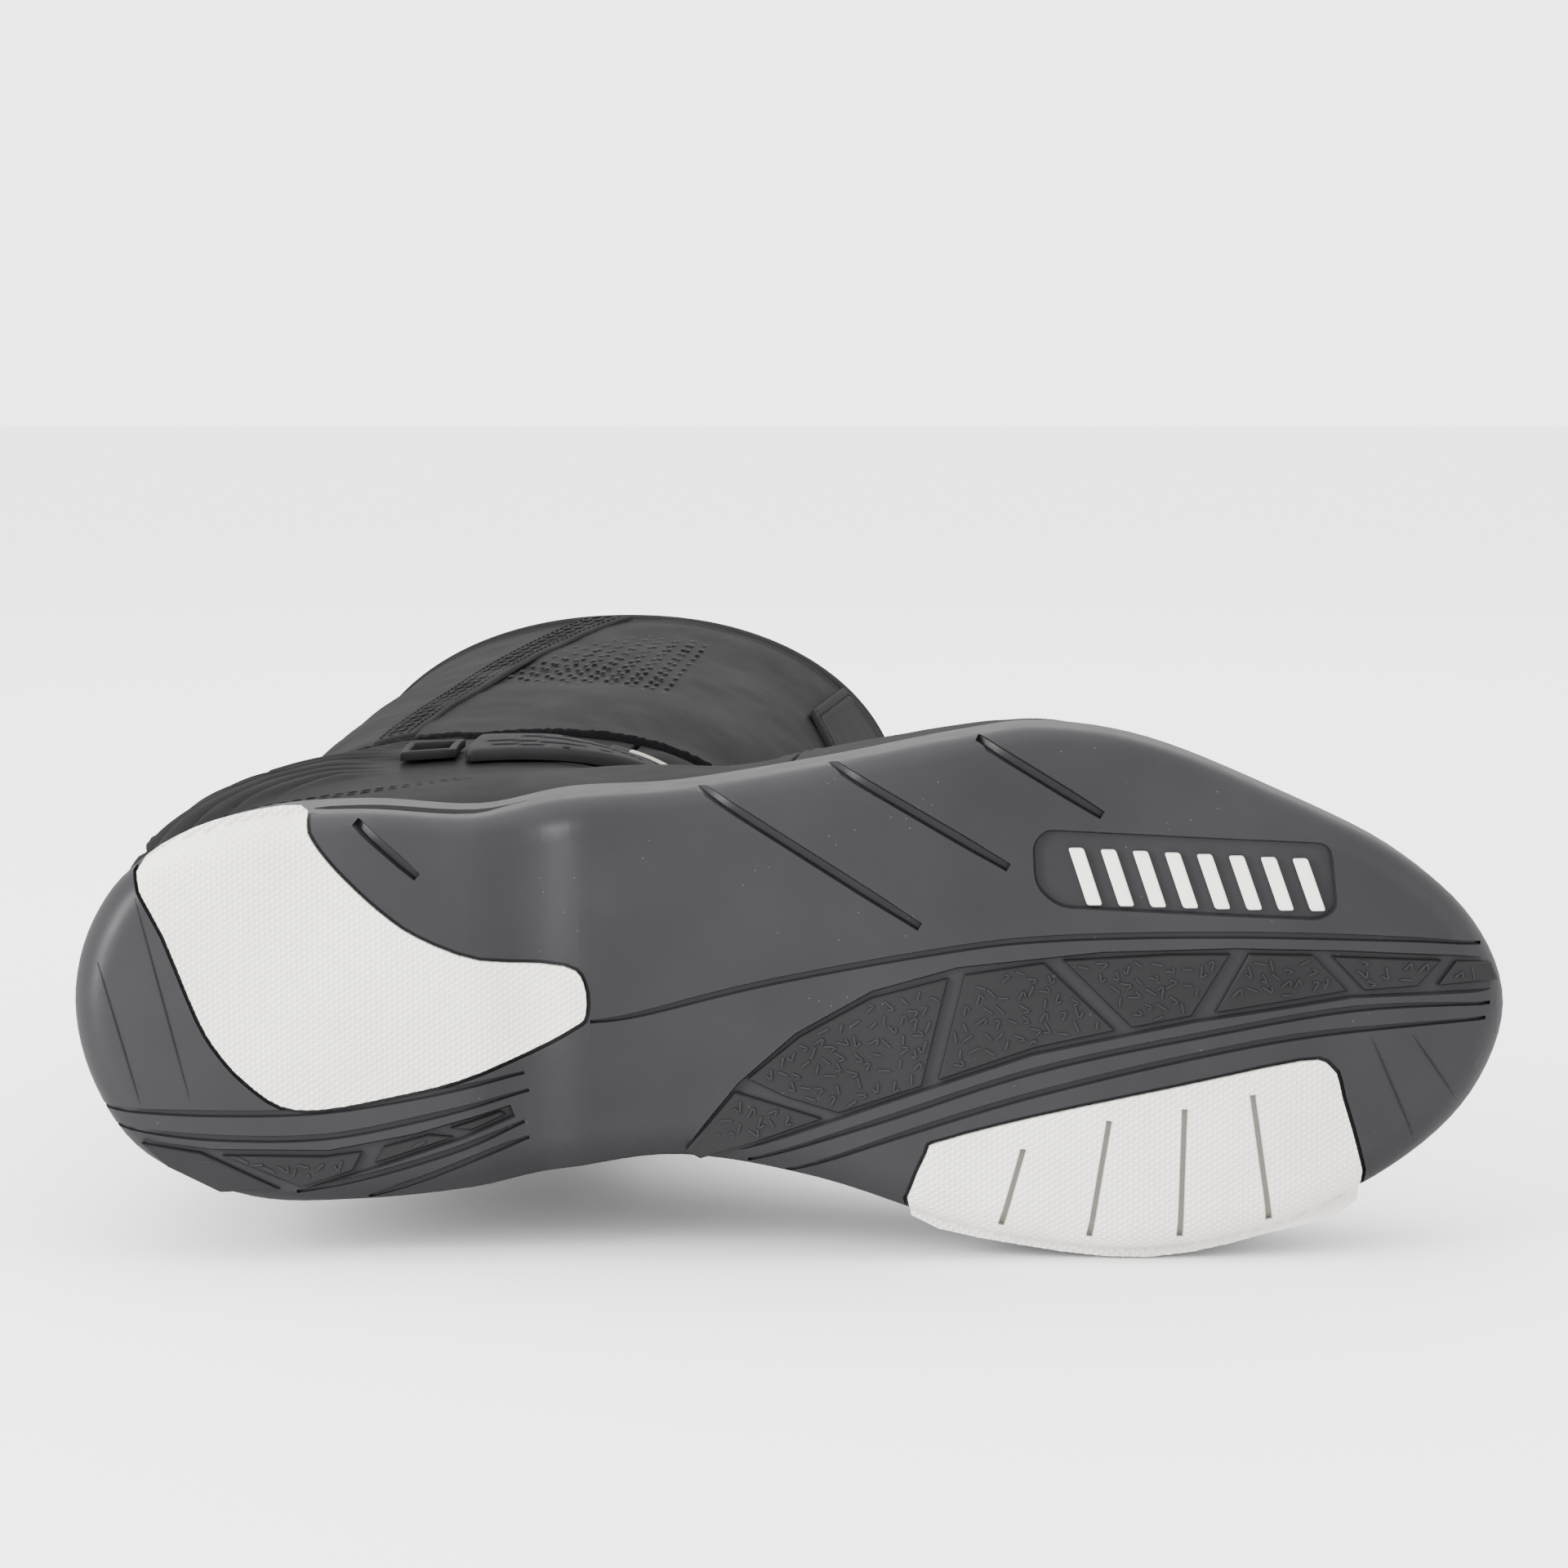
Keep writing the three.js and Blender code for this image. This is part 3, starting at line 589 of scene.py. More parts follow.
sideGrooves = {  # outer side: start and end of each slanting cut
    "lines": [((131, -46.5), (178, -16.5)), ((159, -51), (196.5, -29)), ((190, -56), (216, -40)),
              ((60, -38.5), (73, -27))],
    "width": 2.3, "depth": 2.2,
}
bandLines = {  # long double lines that frame the tread band
    "lines": [
        [(109, 3.5), (119, 2), (145, -4.5), (180, -11), (205, -14), (244, -14.8), (279, -13.4), (297, -11.7)],
        [(142, 33.5), (170, 24.5), (202, 14), (236, 6.6), (269, 1.2), (299, 0.9)],
        [(150, 36), (176, 27), (202, 19), (235, 11), (262, 6.3), (298, 4)],
        [(5.5, 22), (28, 23), (51, 22.6), (72, 19.5), (95, 14.6)],
        [(8.5, 26), (30, 28.2), (53, 28), (74, 24), (96, 18.3)],
        [(47, 40), (62, 36.5), (80, 31), (95, 25)],
        [(62, 41.5), (74, 37), (86, 32), (96, 28.3)],
    ],
    "width": 1.5, "depth": 1.3,
}
treadBand = {
    "outline": [(127, 32.5), (140, 16.5), (152, 6), (168, -3), (186, -8), (216, -11.2), (244, -12),
                (266, -11.3), (300, -9), (303, -3), (299, -1.6), (269, -1.2), (236, 3.6), (202, 10.6),
                (172, 20.6), (143, 30.5), (131, 34)],
    "heelOutline": [(12.5, 28.2), (30, 30.6), (54, 30.8), (72, 27.3), (92, 21.5), (93, 24), (82, 28.5),
                    (66, 34), (47, 40.2), (30, 40.6), (18.5, 34.5)],
    "depth": 1.7, "height": 1.5, "lip": 0.35,
    "blocks": [
        [(129, 31), (139.5, 18.5), (157.5, 24.2), (143, 29.4), (132, 32.6)],
        [(142, 15.8), (153, 6.8), (168, -1.4), (184, -5.6), (178.5, 17.3), (161, 23), (150, 19.6)],
        [(187.5, -6.3), (204, -8.8), (219, 5.5), (202, 9.2), (182, 16)],
        [(208, -9.4), (230, -10.6), (243, -10.7), (235, 2.4), (222.5, 4.9)],
        [(247, -10.7), (260.5, -10.3), (268, -2.6), (240, 1.7)],
        [(264.5, -10), (288, -8.6), (283, -3.2), (271.5, -2.6)],
        [(291.5, -8.3), (299, -7.8), (300.5, -4), (287.5, -3.2)],
    ],
    "heelBlocks": [
        [(14.5, 29.4), (27, 31.4), (43.5, 39.2), (31, 39.8), (20, 34.4)],
        [(31.5, 32), (53, 32.2), (61, 31.2), (59, 35.2), (48, 38.8)],
        [(65.5, 30.2), (75, 27.6), (80, 28), (76, 29.6), (63.5, 33.6)],
        [(79.5, 26.2), (90, 22.8), (91, 23.6), (84, 26.6)],
    ],
}
plaque = {
    "outline": [(201.5, -34), (204, -37), (264, -34), (265.5, -20), (262, -17.8), (207, -20.6), (202, -25)],
    "depth": 1.7, "bars": 8, "barStart": 211, "barPitch": 6.7, "barWidth": 3.1, "slant": 4, "barHeight": 1.45,
}
creamPads = {
    "heel_insert": [(14, -27.8), (22, -34.8), (34, -39.2), (48, -41.2), (50, -36), (53.5, -31), (58, -26),
                    (65, -19.5), (73, -14), (86, -9.2), (103.5, -8), (107.6, -4.5), (108, 2), (105.5, 4.6),
                    (96, 10), (81, 16), (67, 19.4), (53, 22), (44, 21.3), (36.5, 16), (31.5, 10.5), (27, 3),
                    (20, -14.5)],
    "forefoot_insert": [(176.6, 46), (179.6, 31.6), (183, 29), (202, 24), (230, 18), (258, 12.2),
                        (264.6, 13.6), (267, 20), (271.4, 43), (252, 50), (227, 55), (200, 52.4)],
    "pitch": 1.3, "slant": 32, "height": 0.5, "channel": 0.9, "channelDepth": 1.7, "proud": 0.15,
    "under": 2.0,
}
treadRidges = [((6, -9), (14.5, 21)), ((14, -22.5), (25, 20.5)), ((273, 7), (284, 32)),
               ((282, 7), (292.5, 22))]
padSlots = {"lines": [((200, 30.5), (195.4, 47)), ((218, 24.5), (214, 49.5)), ((233.8, 22), (233.1, 49.5)),
                      ((248, 19), (252, 46))], "width": 1.6, "depth": 1.25}


def latticePad(name, outline, cell, peak, under, rise=0.0):
    # a slab of small pyramids on a slanted lattice, following the tread's rounded edge
    slant = math.radians(creamPads["slant"])
    a = Vector((math.cos(slant), math.sin(slant))) * cell
    b = Vector((math.cos(slant), -math.sin(slant))) * cell
    xs, ys = [p[0] for p in outline], [p[1] for p in outline]
    reach = grown(outline, cell * 1.5)
    height = lambda x, y: edgeRise(x, y) - rise
    points, index, faces = [], {}, []

    def corner(i, j, lift):
        key = (i, j)
        if key not in index:
            p = a * i + b * j
            index[key] = len(points)
            points.append(Vector((p.x, p.y, height(p.x, p.y) - lift)))
        return index[key]

    low = int(min(xs) / cell) - 60
    for i in range(low // 2 - 60, int(max(xs) / cell) + 60):
        for j in range(low // 2 - 60, int(max(xs) / cell) + 60):
            middle = a * (i + 0.5) + b * (j + 0.5)
            if not (min(xs) - 2 < middle.x < max(xs) + 2 and min(ys) - 2 < middle.y < max(ys) + 2):
                continue
            if not inside(reach, middle.x, middle.y):
                continue
            ring = [corner(i, j, 0), corner(i, j + 1, 0), corner(i + 1, j + 1, 0), corner(i + 1, j, 0)]
            if peak:
                top = corner(i + 0.5, j + 0.5, peak)
                faces += [(ring[k], ring[(k + 1) % 4], top) for k in range(4)]
            else:
                faces.append(tuple(ring))
    pad = meshPiece(name, points, faces, False)
    grid = bmesh.new()
    grid.from_mesh(pad.data)
    made = bmesh.ops.extrude_face_region(grid, geom=grid.faces[:])
    for item in made["geom"]:
        if isinstance(item, bmesh.types.BMVert):
            item.co.z += under
    bmesh.ops.recalc_face_normals(grid, faces=grid.faces[:])
    grid.to_mesh(pad.data)
    grid.free()
    return pad


def treadMarks(name, blocks, surface):
    # short raised dashes in loose pairs, thrown over the blocks from a fixed seed
    look = {"length": 2.7, "width": 0.5, "height": 0.4, "tries": 5200, "room": 2.35, "margin": 0.7,
            "seed": 11}
    draw = random.Random(look["seed"])
    points, faces, kept = [], [], []

    def dash(x, y, turn, length):
        along = Vector((math.cos(turn), math.sin(turn)))
        across = Vector((-along.y, along.x))
        start = len(points)
        for z, half, trim in ((surface + 0.2, look["width"] / 2, 0),
                              (surface - look["height"], look["width"] / 3, 0.12)):
            for u, v in ((trim, -half), (length - trim, -half), (length - trim, half), (trim, half)):
                p = Vector((x, y)) + along * u + across * v
                points.append(Vector((p.x, p.y, z + edgeRise(p.x, p.y))))
        faces.extend([tuple(start + k for k in face) for face in
                      ((0, 1, 2, 3), (7, 6, 5, 4), (0, 4, 5, 1), (1, 5, 6, 2), (2, 6, 7, 3), (3, 7, 4, 0))])
        return Vector((x, y)) + along * length

    for block in blocks:
        shape = grown(block, -look["margin"])
        xs, ys = [p[0] for p in shape], [p[1] for p in shape]
        for _ in range(int(look["tries"] * abs(area(shape)) / 2000)):
            x, y = draw.uniform(min(xs), max(xs)), draw.uniform(min(ys), max(ys))
            turn = draw.choice((-70, -35, 10, 35, 70, 100)) + draw.uniform(-12, 12)
            turn = math.radians(turn)
            length = look["length"] * draw.uniform(0.75, 1.1)
            tip = Vector((x, y)) + Vector((math.cos(turn), math.sin(turn))) * length
            middle = (tip + Vector((x, y))) / 2
            if not inside(shape, x, y) or not inside(shape, tip.x, tip.y):
                continue
            if any((middle - other).length < look["room"] for other in kept):
                continue
            kept.append(middle)
            end = dash(x, y, turn, length)
            fold = turn + math.radians(draw.choice((-130, 130, 140)))
            tail = end + Vector((math.cos(fold), math.sin(fold))) * length * 0.6
            if draw.random() < 0.55 and inside(shape, tail.x, tail.y):
                dash(end.x, end.y, fold, length * 0.6)
    return tidyNormals(meshPiece(name, points, faces, False))


def lastShape(depth):
    # the closed form of the foot, used to seat the rubber against the leather
    rows, turns = np.arange(0.0, 9.9, 0.1), np.arange(-180, 180, 5.0)
    rings = [[Vector(p) for p in bootPoints(np.full(len(turns), s), turns, [depth])] for s in rows]
    return ringsPiece("last", rings)


window = {"start": 50, "end": 97, "low": 12.5, "high": 21, "depth": 1.4, "outside": 4, "round": 3.5}


def wallWindow():
    # a long shallow recess in the outer side wall over the heel
    rings = []
    low, high, depth, outside = (window[k] for k in ("low", "high", "depth", "outside"))
    for x in range(window["start"], window["end"] + 1, 3):
        edge = min(p.y for p in planLine if abs(p.x - x) < 6)
        share = (x - window["start"]) / (window["end"] - window["start"])
        trim = window["round"] * (1 - math.sin(math.pi * share) ** 0.3)
        section = ((depth, low + trim), (depth, high - trim), (-outside, high + 1 - trim),
                   (-outside, low - 1 + trim))
        rings.append([Vector((x, edge + y, z)) for y, z in section])
    return ringsPiece("window", rings)


def slotFloor(a, b):
    # a thin darker beige strip let into the bottom of a slot: painted shade in the slot
    rings = []
    along = (Vector(b) - Vector(a)).normalized()
    across = Vector((-along.y, along.x)) * 0.55
    for here in straight(a, b, 2):
        rise = edgeRise(here.x, here.y)
        rings.append([Vector((here.x + across.x * u, here.y + across.y * u, rise + v)) for u, v in
                      ((-1, 1.5), (1, 1.5), (1, 1.1), (-1, 1.1))])
    return ringsPiece("slot_floor", rings)


def surfaceRidge(a, b, width=0.9, height=0.35):
    # a thin raised line across the tread
    rings = []
    line = straight(a, b, 2)
    for k, here in enumerate(line):
        along = (Vector(b) - Vector(a)).normalized()
        across = Vector((-along.y, along.x))
        ends = math.sin(math.pi * k / (len(line) - 1)) ** 0.4 if 0 < k < len(line) - 1 else 0.15
        rise = edgeRise(here.x, here.y)
        rings.append([Vector((here.x + across.x * u, here.y + across.y * u, rise + v)) for u, v in
                      ((-width / 2, 0.4), (width / 2, 0.4), (0, -height * ends))])
    return ringsPiece("ridge", rings)


def foamCore():
    # the hidden foam, kept clear of the grooves in the curved tread
    floor = 4.8
    node = frame["nodes"]["midsole"]
    mesh = node.data.copy()
    piece = bpy.data.objects.new("midsole_core", mesh)
    bpy.context.scene.collection.objects.link(piece)
    mesh.transform(layDown.inverted() @ node.matrix_world)
    for vertex in mesh.vertices:
        x, y, z = vertex.co
        vertex.co.z = max(z, treadRise(x) + edgeRise(x, y) + floor)
    finished(piece, "foot", materials["foam"], ("midsole",), 30)


def buildSole():
    foamCore()
    blank = soleBlank()
    cut(blank, lastShape(1.1))
    cut(blank, wallWindow())
    for outline in (treadBand["outline"], treadBand["heelOutline"]):
        cut(blank, stepPocket(outline, treadBand["depth"]))
    cut(blank, stepPocket(roundedCorners(plaque["outline"], 3), plaque["depth"]))
    for start, end in sideGrooves["lines"]:
        cut(blank, grooveTool(straight(start, end), sideGrooves["width"], sideGrooves["depth"], 0.25))
    for points in bandLines["lines"]:
        line = curveThrough([Vector((x, y, 0)) for x, y in points], 6)
        cut(blank, grooveTool(line, bandLines["width"], bandLines["depth"], 0.6))
    print("sole grooves cut")
    pads = []
    for name in ("heel_insert", "forefoot_insert"):
        outline = [p.to_2d() for p in curveThrough([Vector((x, y, 0)) for x, y in creamPads[name]], 3, True)]
        deep = latticePad("channel_floor", grown(outline, 8), 4, 0, 40, -creamPads["channelDepth"])
        wall = filledOutline("channel_wall", grown(outline, creamPads["channel"]), -30, 20)
        cut(wall, deep)
        cut(blank, wall)
        pad = latticePad(name, outline, creamPads["pitch"], creamPads["height"], creamPads["under"],
                         creamPads["proud"])
        cut(pad, filledOutline("pad_edge", outline, -10, 20), "INTERSECT")
        if name == "forefoot_insert":
            for start, end in padSlots["lines"]:
                cut(pad, grooveTool(straight(start, end, 3), padSlots["width"], padSlots["depth"]))
        pads.append(pad)
    print("sole pads fitted")
    blocks = treadBand["blocks"] + treadBand["heelBlocks"]
    top = treadBand["depth"] - treadBand["height"]
    treads = joined("tread_blocks", [stepPrism("block", block, top, 4, treadBand["lip"]) for block in blocks])
    marks = treadMarks("tread_marks", blocks, top)
    bars = []
    for k in range(plaque["bars"]):
        x = plaque["barStart"] + k * plaque["barPitch"]
        slant, width = plaque["slant"], plaque["barWidth"]
        low, high = -33.6 + 0.05 * (x - 200), -21.4 + 0.03 * (x - 200)
        shape = [(x - slant / 2, low), (x - slant / 2 + width, low), (x + slant / 2 + width, high),
                 (x + slant / 2, high)]
        bars.append(stepPrism("bar", roundedCorners(shape, 0.6), plaque["depth"] - plaque["barHeight"], 3,
                              0.25))
    emblem = joined("sole_emblem", bars)
    ridgeLines = joined("tread_ridges", [surfaceRidge(a, b) for a, b in treadRidges])
    # darker strips in the slot bottoms: painted shade
    slotFloors = joined("slot_painted_shade_strips", [slotFloor(a, b) for a, b in padSlots["lines"]])
    for piece, slot, material, nodes in (
        (ridgeLines, "rubber", "rubber", ()),
        (slotFloors, "pale_rubber", "slot", ()),
        (blank, "rubber", "rubber", ("outsole",)),
        (pads[0], "pale_rubber", "cream", ("heel_insert",)),
        (pads[1], "pale_rubber", "cream", ("forefoot_insert",)),
        (treads, "rubber", "tread", ()),
        (marks, "rubber", "rubber", ()),
        (emblem, "pale_rubber", "cream", ("sole_emblem",)),
    ):
        bent(piece, piece not in pads and piece is not marks)
        finished(piece, "foot", materials[material], nodes, 30)
    print("sole finished")


def stepPocket(outline, depth):
    # a pocket whose wall leans in a little towards its floor
    points = [p.to_2d() if len(p) > 2 else Vector(p) for p in outline]
    rings = [[Vector((p.x, p.y, z)) for p in line] for line, z in
             ((grown(points, 0.5), -1.2), (grown(points, 0), 0.3), (grown(points, -0.4), depth))]
    return ringsPiece("pocket", rings)


def footRow(x, low, frontX, high, squareFront, squareBack=3):
    out, into = (np.interp(x, *zip(*[(row[0], row[k]) for row in planRows])) for k in (1, 2))
    return (x, low, frontX, high, (out + into) / 2 - 3, (into - out) / 2, squareFront, squareBack)


def shaftRow(rise, backRise, frontRise):
    return (lerp(14, 32, rise ** 1.2), lerp(115, 322, backRise), lerp(138, 181, rise),
            lerp(168.82, 322, frontRise), lerp(41, 53, rise), lerp(0, -6, rise),
            2.1 + 0.4 * (1 - rise) ** 6, 2.15)


# sole or calf end, instep or shin end, half width, shift to the inner side, squareness of both ends
lastRows = np.array([
    (295.7, 22, 296.9, 30, 9, 2, 2, 2),
    footRow(288.5, 18, 290, 43, 2.2), footRow(271.2, 15.5, 271.2, 55, 2.2),
    footRow(239.4, 14, 239.4, 66, 2.2), footRow(206, 14, 206, 79, 2.3), footRow(166.7, 15, 169.7, 97, 2.6),
    footRow(127.3, 20, 148.5, 116, 2.8), (78.8, 27, 137.9, 131, 38.5, -2, 2.8, 2.7),
    (25.8, 29, 133.9, 141, 39, 0, 2.8, 2.7), (3.9, 48, 133, 150, 39.5, 0, 2.8, 2.7),
    (4.8, 82, 133.9, 159, 41, 0, 2.8, 2.7), shaftRow(0, 0, 0), shaftRow(0.16, 0.17, 0.1216),
    shaftRow(0.38, 0.38, 0.2973), shaftRow(0.63, 0.62, 0.5676), shaftRow(0.86, 0.84, 0.8378),
    shaftRow(1, 0.96, 1),
])
topRow = len(lastRows) - 1


def lastPoints(s, turn):
    i = np.clip(np.floor(s), 0, topRow - 1).astype(int)
    t = (s - i)[:, None]
    a, b, c, d = (lastRows[np.clip(i + k, 0, topRow)] for k in (-1, 0, 1, 2))
    rows = b + ((3 * b - a - 3 * c + d) * t ** 3 + (2 * a - 5 * b + 4 * c - d) * t ** 2 + (c - a) * t) / 2
    backX, backZ, frontX, frontZ, half, shift, squareFront, squareBack = rows.T
    cosine, sine = np.cos(np.radians(turn)), np.sin(np.radians(turn))
    square = (squareFront + squareBack) / 2 + (squareFront - squareBack) / 2 * cosine
    along = (1 + np.sign(cosine) * np.abs(cosine) ** (2 / square)) / 2
    side = shift + half * np.sign(sine) * np.abs(sine) ** (2 / square)
    return np.stack([backX + (frontX - backX) * along, side, backZ + (frontZ - backZ) * along], 1)


def bootPoints(s, turn, depth):
    # a point outside the last; rows run from the toe to the top edge, and turns, in degrees, from the shin
    # round by the inner side
    s, turn, depth = np.broadcast_arrays(*(np.asarray(v, float).ravel() for v in (s, turn, depth)))
    around = lastPoints(s, turn + 2) - lastPoints(s, turn - 2)
    along = lastPoints(np.minimum(s + 0.05, topRow), turn) - lastPoints(np.maximum(s - 0.05, 0), turn)
    out = np.cross(around, along)
    out /= np.maximum(np.linalg.norm(out, axis=1, keepdims=True), 1e-9)
    return lastPoints(s, turn) + out * depth[:, None]


def softStep(a, b, v):
    t = np.clip((v - a) / (b - a), 0, 1)
    return t * t * (3 - 2 * t)


def footTop(turn):
    return 9.7 - 2.1 * np.maximum(np.cos(np.radians(turn)), 0)


def shaftFoot(turn):
    cosine = np.cos(np.radians(turn))
    return np.where(cosine > 0, 11.2 + cosine, 11.2 - 0.4 * cosine)


def calfSeam(s):
    # the seam between the outer panel and the calf panel leans forward as it climbs
    return np.interp(s, (11, 12.5, 14, 15, 15.75), (-110, -108, -103, -97, -93))


flexFoot = lambda turn: footTop(turn) + 0.03
flexTop = lambda turn: shaftFoot(turn) - 0.03
hemFold = (0, 0.2, 0.5, 0.9, 1.4, 2.0, 2.5, 3.0, 3.6, 4.3, 5.2, 6.2)


def gridStops(length, spacing, folded):
    # shares of a side, crowded at both ends where the edge is rolled and hemmed
    edge = [d for d in (hemFold if folded else (0, 0.3, 0.8, 1.6)) if d < length * 0.45]
    inner = np.linspace(edge[-1], length - edge[-1], max(2, int((length - 2 * edge[-1]) / spacing) + 1))
    return np.array(edge[:-1] + list(inner) + [length - d for d in reversed(edge[:-1])]) / length


def asFunction(value):
    return value if callable(value) else (lambda v: np.full_like(np.asarray(v, float), value))


def skinPiece(name, turns, rows, top, thick, relief=None, spacing=1.8, hem=0.3, roll=0.7, wrinkle=0.22,
              follow=0.0):
    # a sheet on the last, with rolled edges, a raised hem with a groove for stitches and a soft uneven
    # surface
    turnEdges, rowEdges = [asFunction(v) for v in turns], [asFunction(v) for v in rows]
    middle = np.array([13.5])
    if not callable(turns[0]):
        middle = np.array([(float(rowEdges[0](0.0)) + float(rowEdges[1](0.0))) / 2])
    nominal = [float(edge(middle)[0]) for edge in turnEdges]
    span = np.linspace(nominal[0], nominal[1], 24)
    rowMid = [float((rowEdges[0](t) + rowEdges[1](t)) / 2) for t in span]
    width = np.linalg.norm(np.diff(lastPoints(np.array(rowMid), span), axis=0), axis=1).sum()
    centre = (nominal[0] + nominal[1]) / 2
    climb = np.linspace(float(rowEdges[0](centre)), float(rowEdges[1](centre)), 24)
    length = np.linalg.norm(np.diff(lastPoints(climb, np.full(24, centre)), axis=0), axis=1).sum()
    us, vs = gridStops(width, spacing, hem), gridStops(length, spacing, hem)
    u, v = (g.ravel() for g in np.meshgrid(us, vs, indexing="ij"))
    flat = nominal[0] + (nominal[1] - nominal[0]) * u
    low, high = rowEdges[0](flat), rowEdges[1](flat)
    s = low + (high - low) * v
    turn = turnEdges[0](s) + (turnEdges[1](s) - turnEdges[0](s)) * u
    edge = np.minimum(np.minimum(u, 1 - u) * width, np.minimum(v, 1 - v) * length)
    rolled = np.clip(1 - edge / roll, 0, 1)
    rise = -roll * (1 - np.sqrt(1 - rolled ** 2 * 0.98))
    if hem:
        rise = rise + hem * (1 - softStep(4.2, 5.4, edge)) - 0.28 * np.exp(-((edge - 2.5) / 0.45) ** 2)
    bare = lastPoints(s, turn)
    if wrinkle:
        waves = [noise.noise((x * 0.045, y * 0.045, z * 0.045)) + 0.5 * noise.noise((x * 0.12, y * 0.12,
                                                                                     z * 0.12))
                 for x, y, z in bare]
        rise = rise + wrinkle * np.array(waves)
    shape = relief(turn, s, u, v, width, length) if relief else 0
    outer = bootPoints(s, turn, top + rise + shape)
    inner = bootPoints(s, turn, top - thick + follow * shape + 0 * s)
    return closedGrid(name, outer, inner, len(us), len(vs))


def closedGrid(name, outer, inner, rows, columns):
    shift = rows * columns
    index = np.arange(shift).reshape(rows, columns)
    faces = []
    for i in range(rows - 1):
        for j in range(columns - 1):
            a, b, c, d = (int(k) for k in (index[i, j], index[i + 1, j], index[i + 1, j + 1],
                                           index[i, j + 1]))
            faces += [(a, b, c, d), (a + shift, d + shift, c + shift, b + shift)]
    rim = [int(k) for k in (*index[:, 0], *index[-1, 1:], *index[-2::-1, -1], *index[0, -2:0:-1])]
    faces += [(rim[k - 1], rim[k - 1] + shift, rim[k] + shift, rim[k]) for k in range(len(rim))]
    return outwards(meshPiece(name, [*outer, *inner], faces))


def outwards(piece):
    # recalculates normals so that they point out
    shape = bmesh.new()
    shape.from_mesh(piece.data)
    bmesh.ops.remove_doubles(shape, verts=shape.verts[:], dist=0.0005)
    bmesh.ops.recalc_face_normals(shape, faces=shape.faces[:])
    if shape.calc_volume(signed=True) < 0:
        bmesh.ops.reverse_faces(shape, faces=shape.faces[:])
    shape.to_mesh(piece.data)
    shape.free()
    return piece


def surfaceLine(path, step=0.5):
    # points (row, turn) joined by straight runs and resampled by true length
    fine = []
    for (s0, t0), (s1, t1) in zip(path, path[1:]):
        fine += [(lerp(s0, s1, k / 40), lerp(t0, t1, k / 40)) for k in range(40)]
    fine.append(path[-1])
    places = np.array(fine)
    points = lastPoints(places[:, 0], places[:, 1])
    run = np.concatenate([[0], np.cumsum(np.linalg.norm(np.diff(points, axis=0), axis=1))])
    count = max(2, int(run[-1] / step) + 1)
    at = np.linspace(0, run[-1], count)
    return np.interp(at, run, places[:, 0]), np.interp(at, run, places[:, 1]), run[-1]


grain = {"rings": [(-1, 0), (-0.72, 0.75), (0, 1), (0.72, 0.75), (1, 0)], "sides": 6}


def grainsPiece(name, grains):
    # small spindles, each given by a middle, a half length vector, an up vector and a half width
    points, faces = [], []
    turns = [2 * math.pi * k / grain["sides"] for k in range(grain["sides"])]
    for middle, half, up, width in grains:
        side = half.cross(up).normalized() * width
        lift = up.normalized() * width * 0.8
        start = len(points)
        for place, size in grain["rings"]:
            if size == 0:
                points.append(middle + half * place)
            else:
                points += [middle + half * place + (side * math.cos(a) + lift * math.sin(a)) * size
                           for a in turns]
        count = grain["sides"]
        first, last = start, start + 1 + 3 * count
        for k in range(count):
            on = (k + 1) % count
            faces.append((first, start + 1 + on, start + 1 + k))
            for ring in (0, 1):
                a = start + 1 + ring * count
                faces.append((a + k, a + on, a + count + on, a + count + k))
            faces.append((last, start + 1 + 2 * count + k, start + 1 + 2 * count + on))
    return outwards(meshPiece(name, points, faces))


def stitchesAlong(path, depth, length=2.3, gap=0.8, width=0.3, zigzag=0.0):
    rows, turns, run = surfaceLine(path)
    count = max(1, int(run / (length + gap)))
    grains = []
    marks = np.linspace(0, len(rows) - 1, count * 2 + 1)
    ends = bootPoints(np.interp(marks, range(len(rows)), rows), np.interp(marks, range(len(rows)), turns),
                      [depth])
    over = bootPoints(np.interp(marks, range(len(rows)), rows), np.interp(marks, range(len(rows)), turns),
                      [depth + 1])
    for k in range(count):
        a, middle, b = (Vector(ends[2 * k + n]) for n in range(3))
        up = Vector(over[2 * k + 1]) - middle
        half = (b - a) / 2 * length / (length + gap)
        if zigzag:
            side = half.cross(up).normalized() * zigzag
            half = half + side * (1 if k % 2 else -1)
        grains.append((middle, half, up, width))
    return grains


def hemStitches(turns, rows, depth, inset=2.5, sides="abcd"):
    # stitches in the hem groove along the chosen sides: a low row, b high row, c first turn, d last turn
    turnEdges, rowEdges = [asFunction(v) for v in turns], [asFunction(v) for v in rows]
    rowMiddle = float(rowEdges[0](np.array(0.0)) + rowEdges[1](np.array(0.0))) / 2
    across = np.linspace(*(float(np.ravel(edge(np.array(rowMiddle)))[0]) for edge in turnEdges), 13)
    grains = []
    for side, edge, sign in (("a", rowEdges[0], 1), ("b", rowEdges[1], -1)):
        if side in sides:
            path = []
            for turn in across:
                s = float(edge(turn))
                pace = np.linalg.norm(np.diff(lastPoints(np.array([s, s + sign * 0.05]),
                                                         np.array([turn, turn])), axis=0))
                path.append((s + sign * 0.05 * inset / pace, turn))
            grains += stitchesAlong(path, depth)
    for side, edge, sign in (("c", turnEdges[0], 1), ("d", turnEdges[1], -1)):
        if side in sides:
            path = []
            turn = float(np.ravel(edge(np.array(rowMiddle)))[0])
            for s in np.linspace(float(rowEdges[0](turn)), float(rowEdges[1](turn)), 13):
                here = float(np.ravel(edge(np.array(s)))[0])
                pace = np.linalg.norm(np.diff(lastPoints(np.array([s, s]), np.array([here, here + sign])),
                                              axis=0))
                path.append((s, here + sign * inset / pace))
            grains += stitchesAlong(path, depth)
    return grains


buildSole()


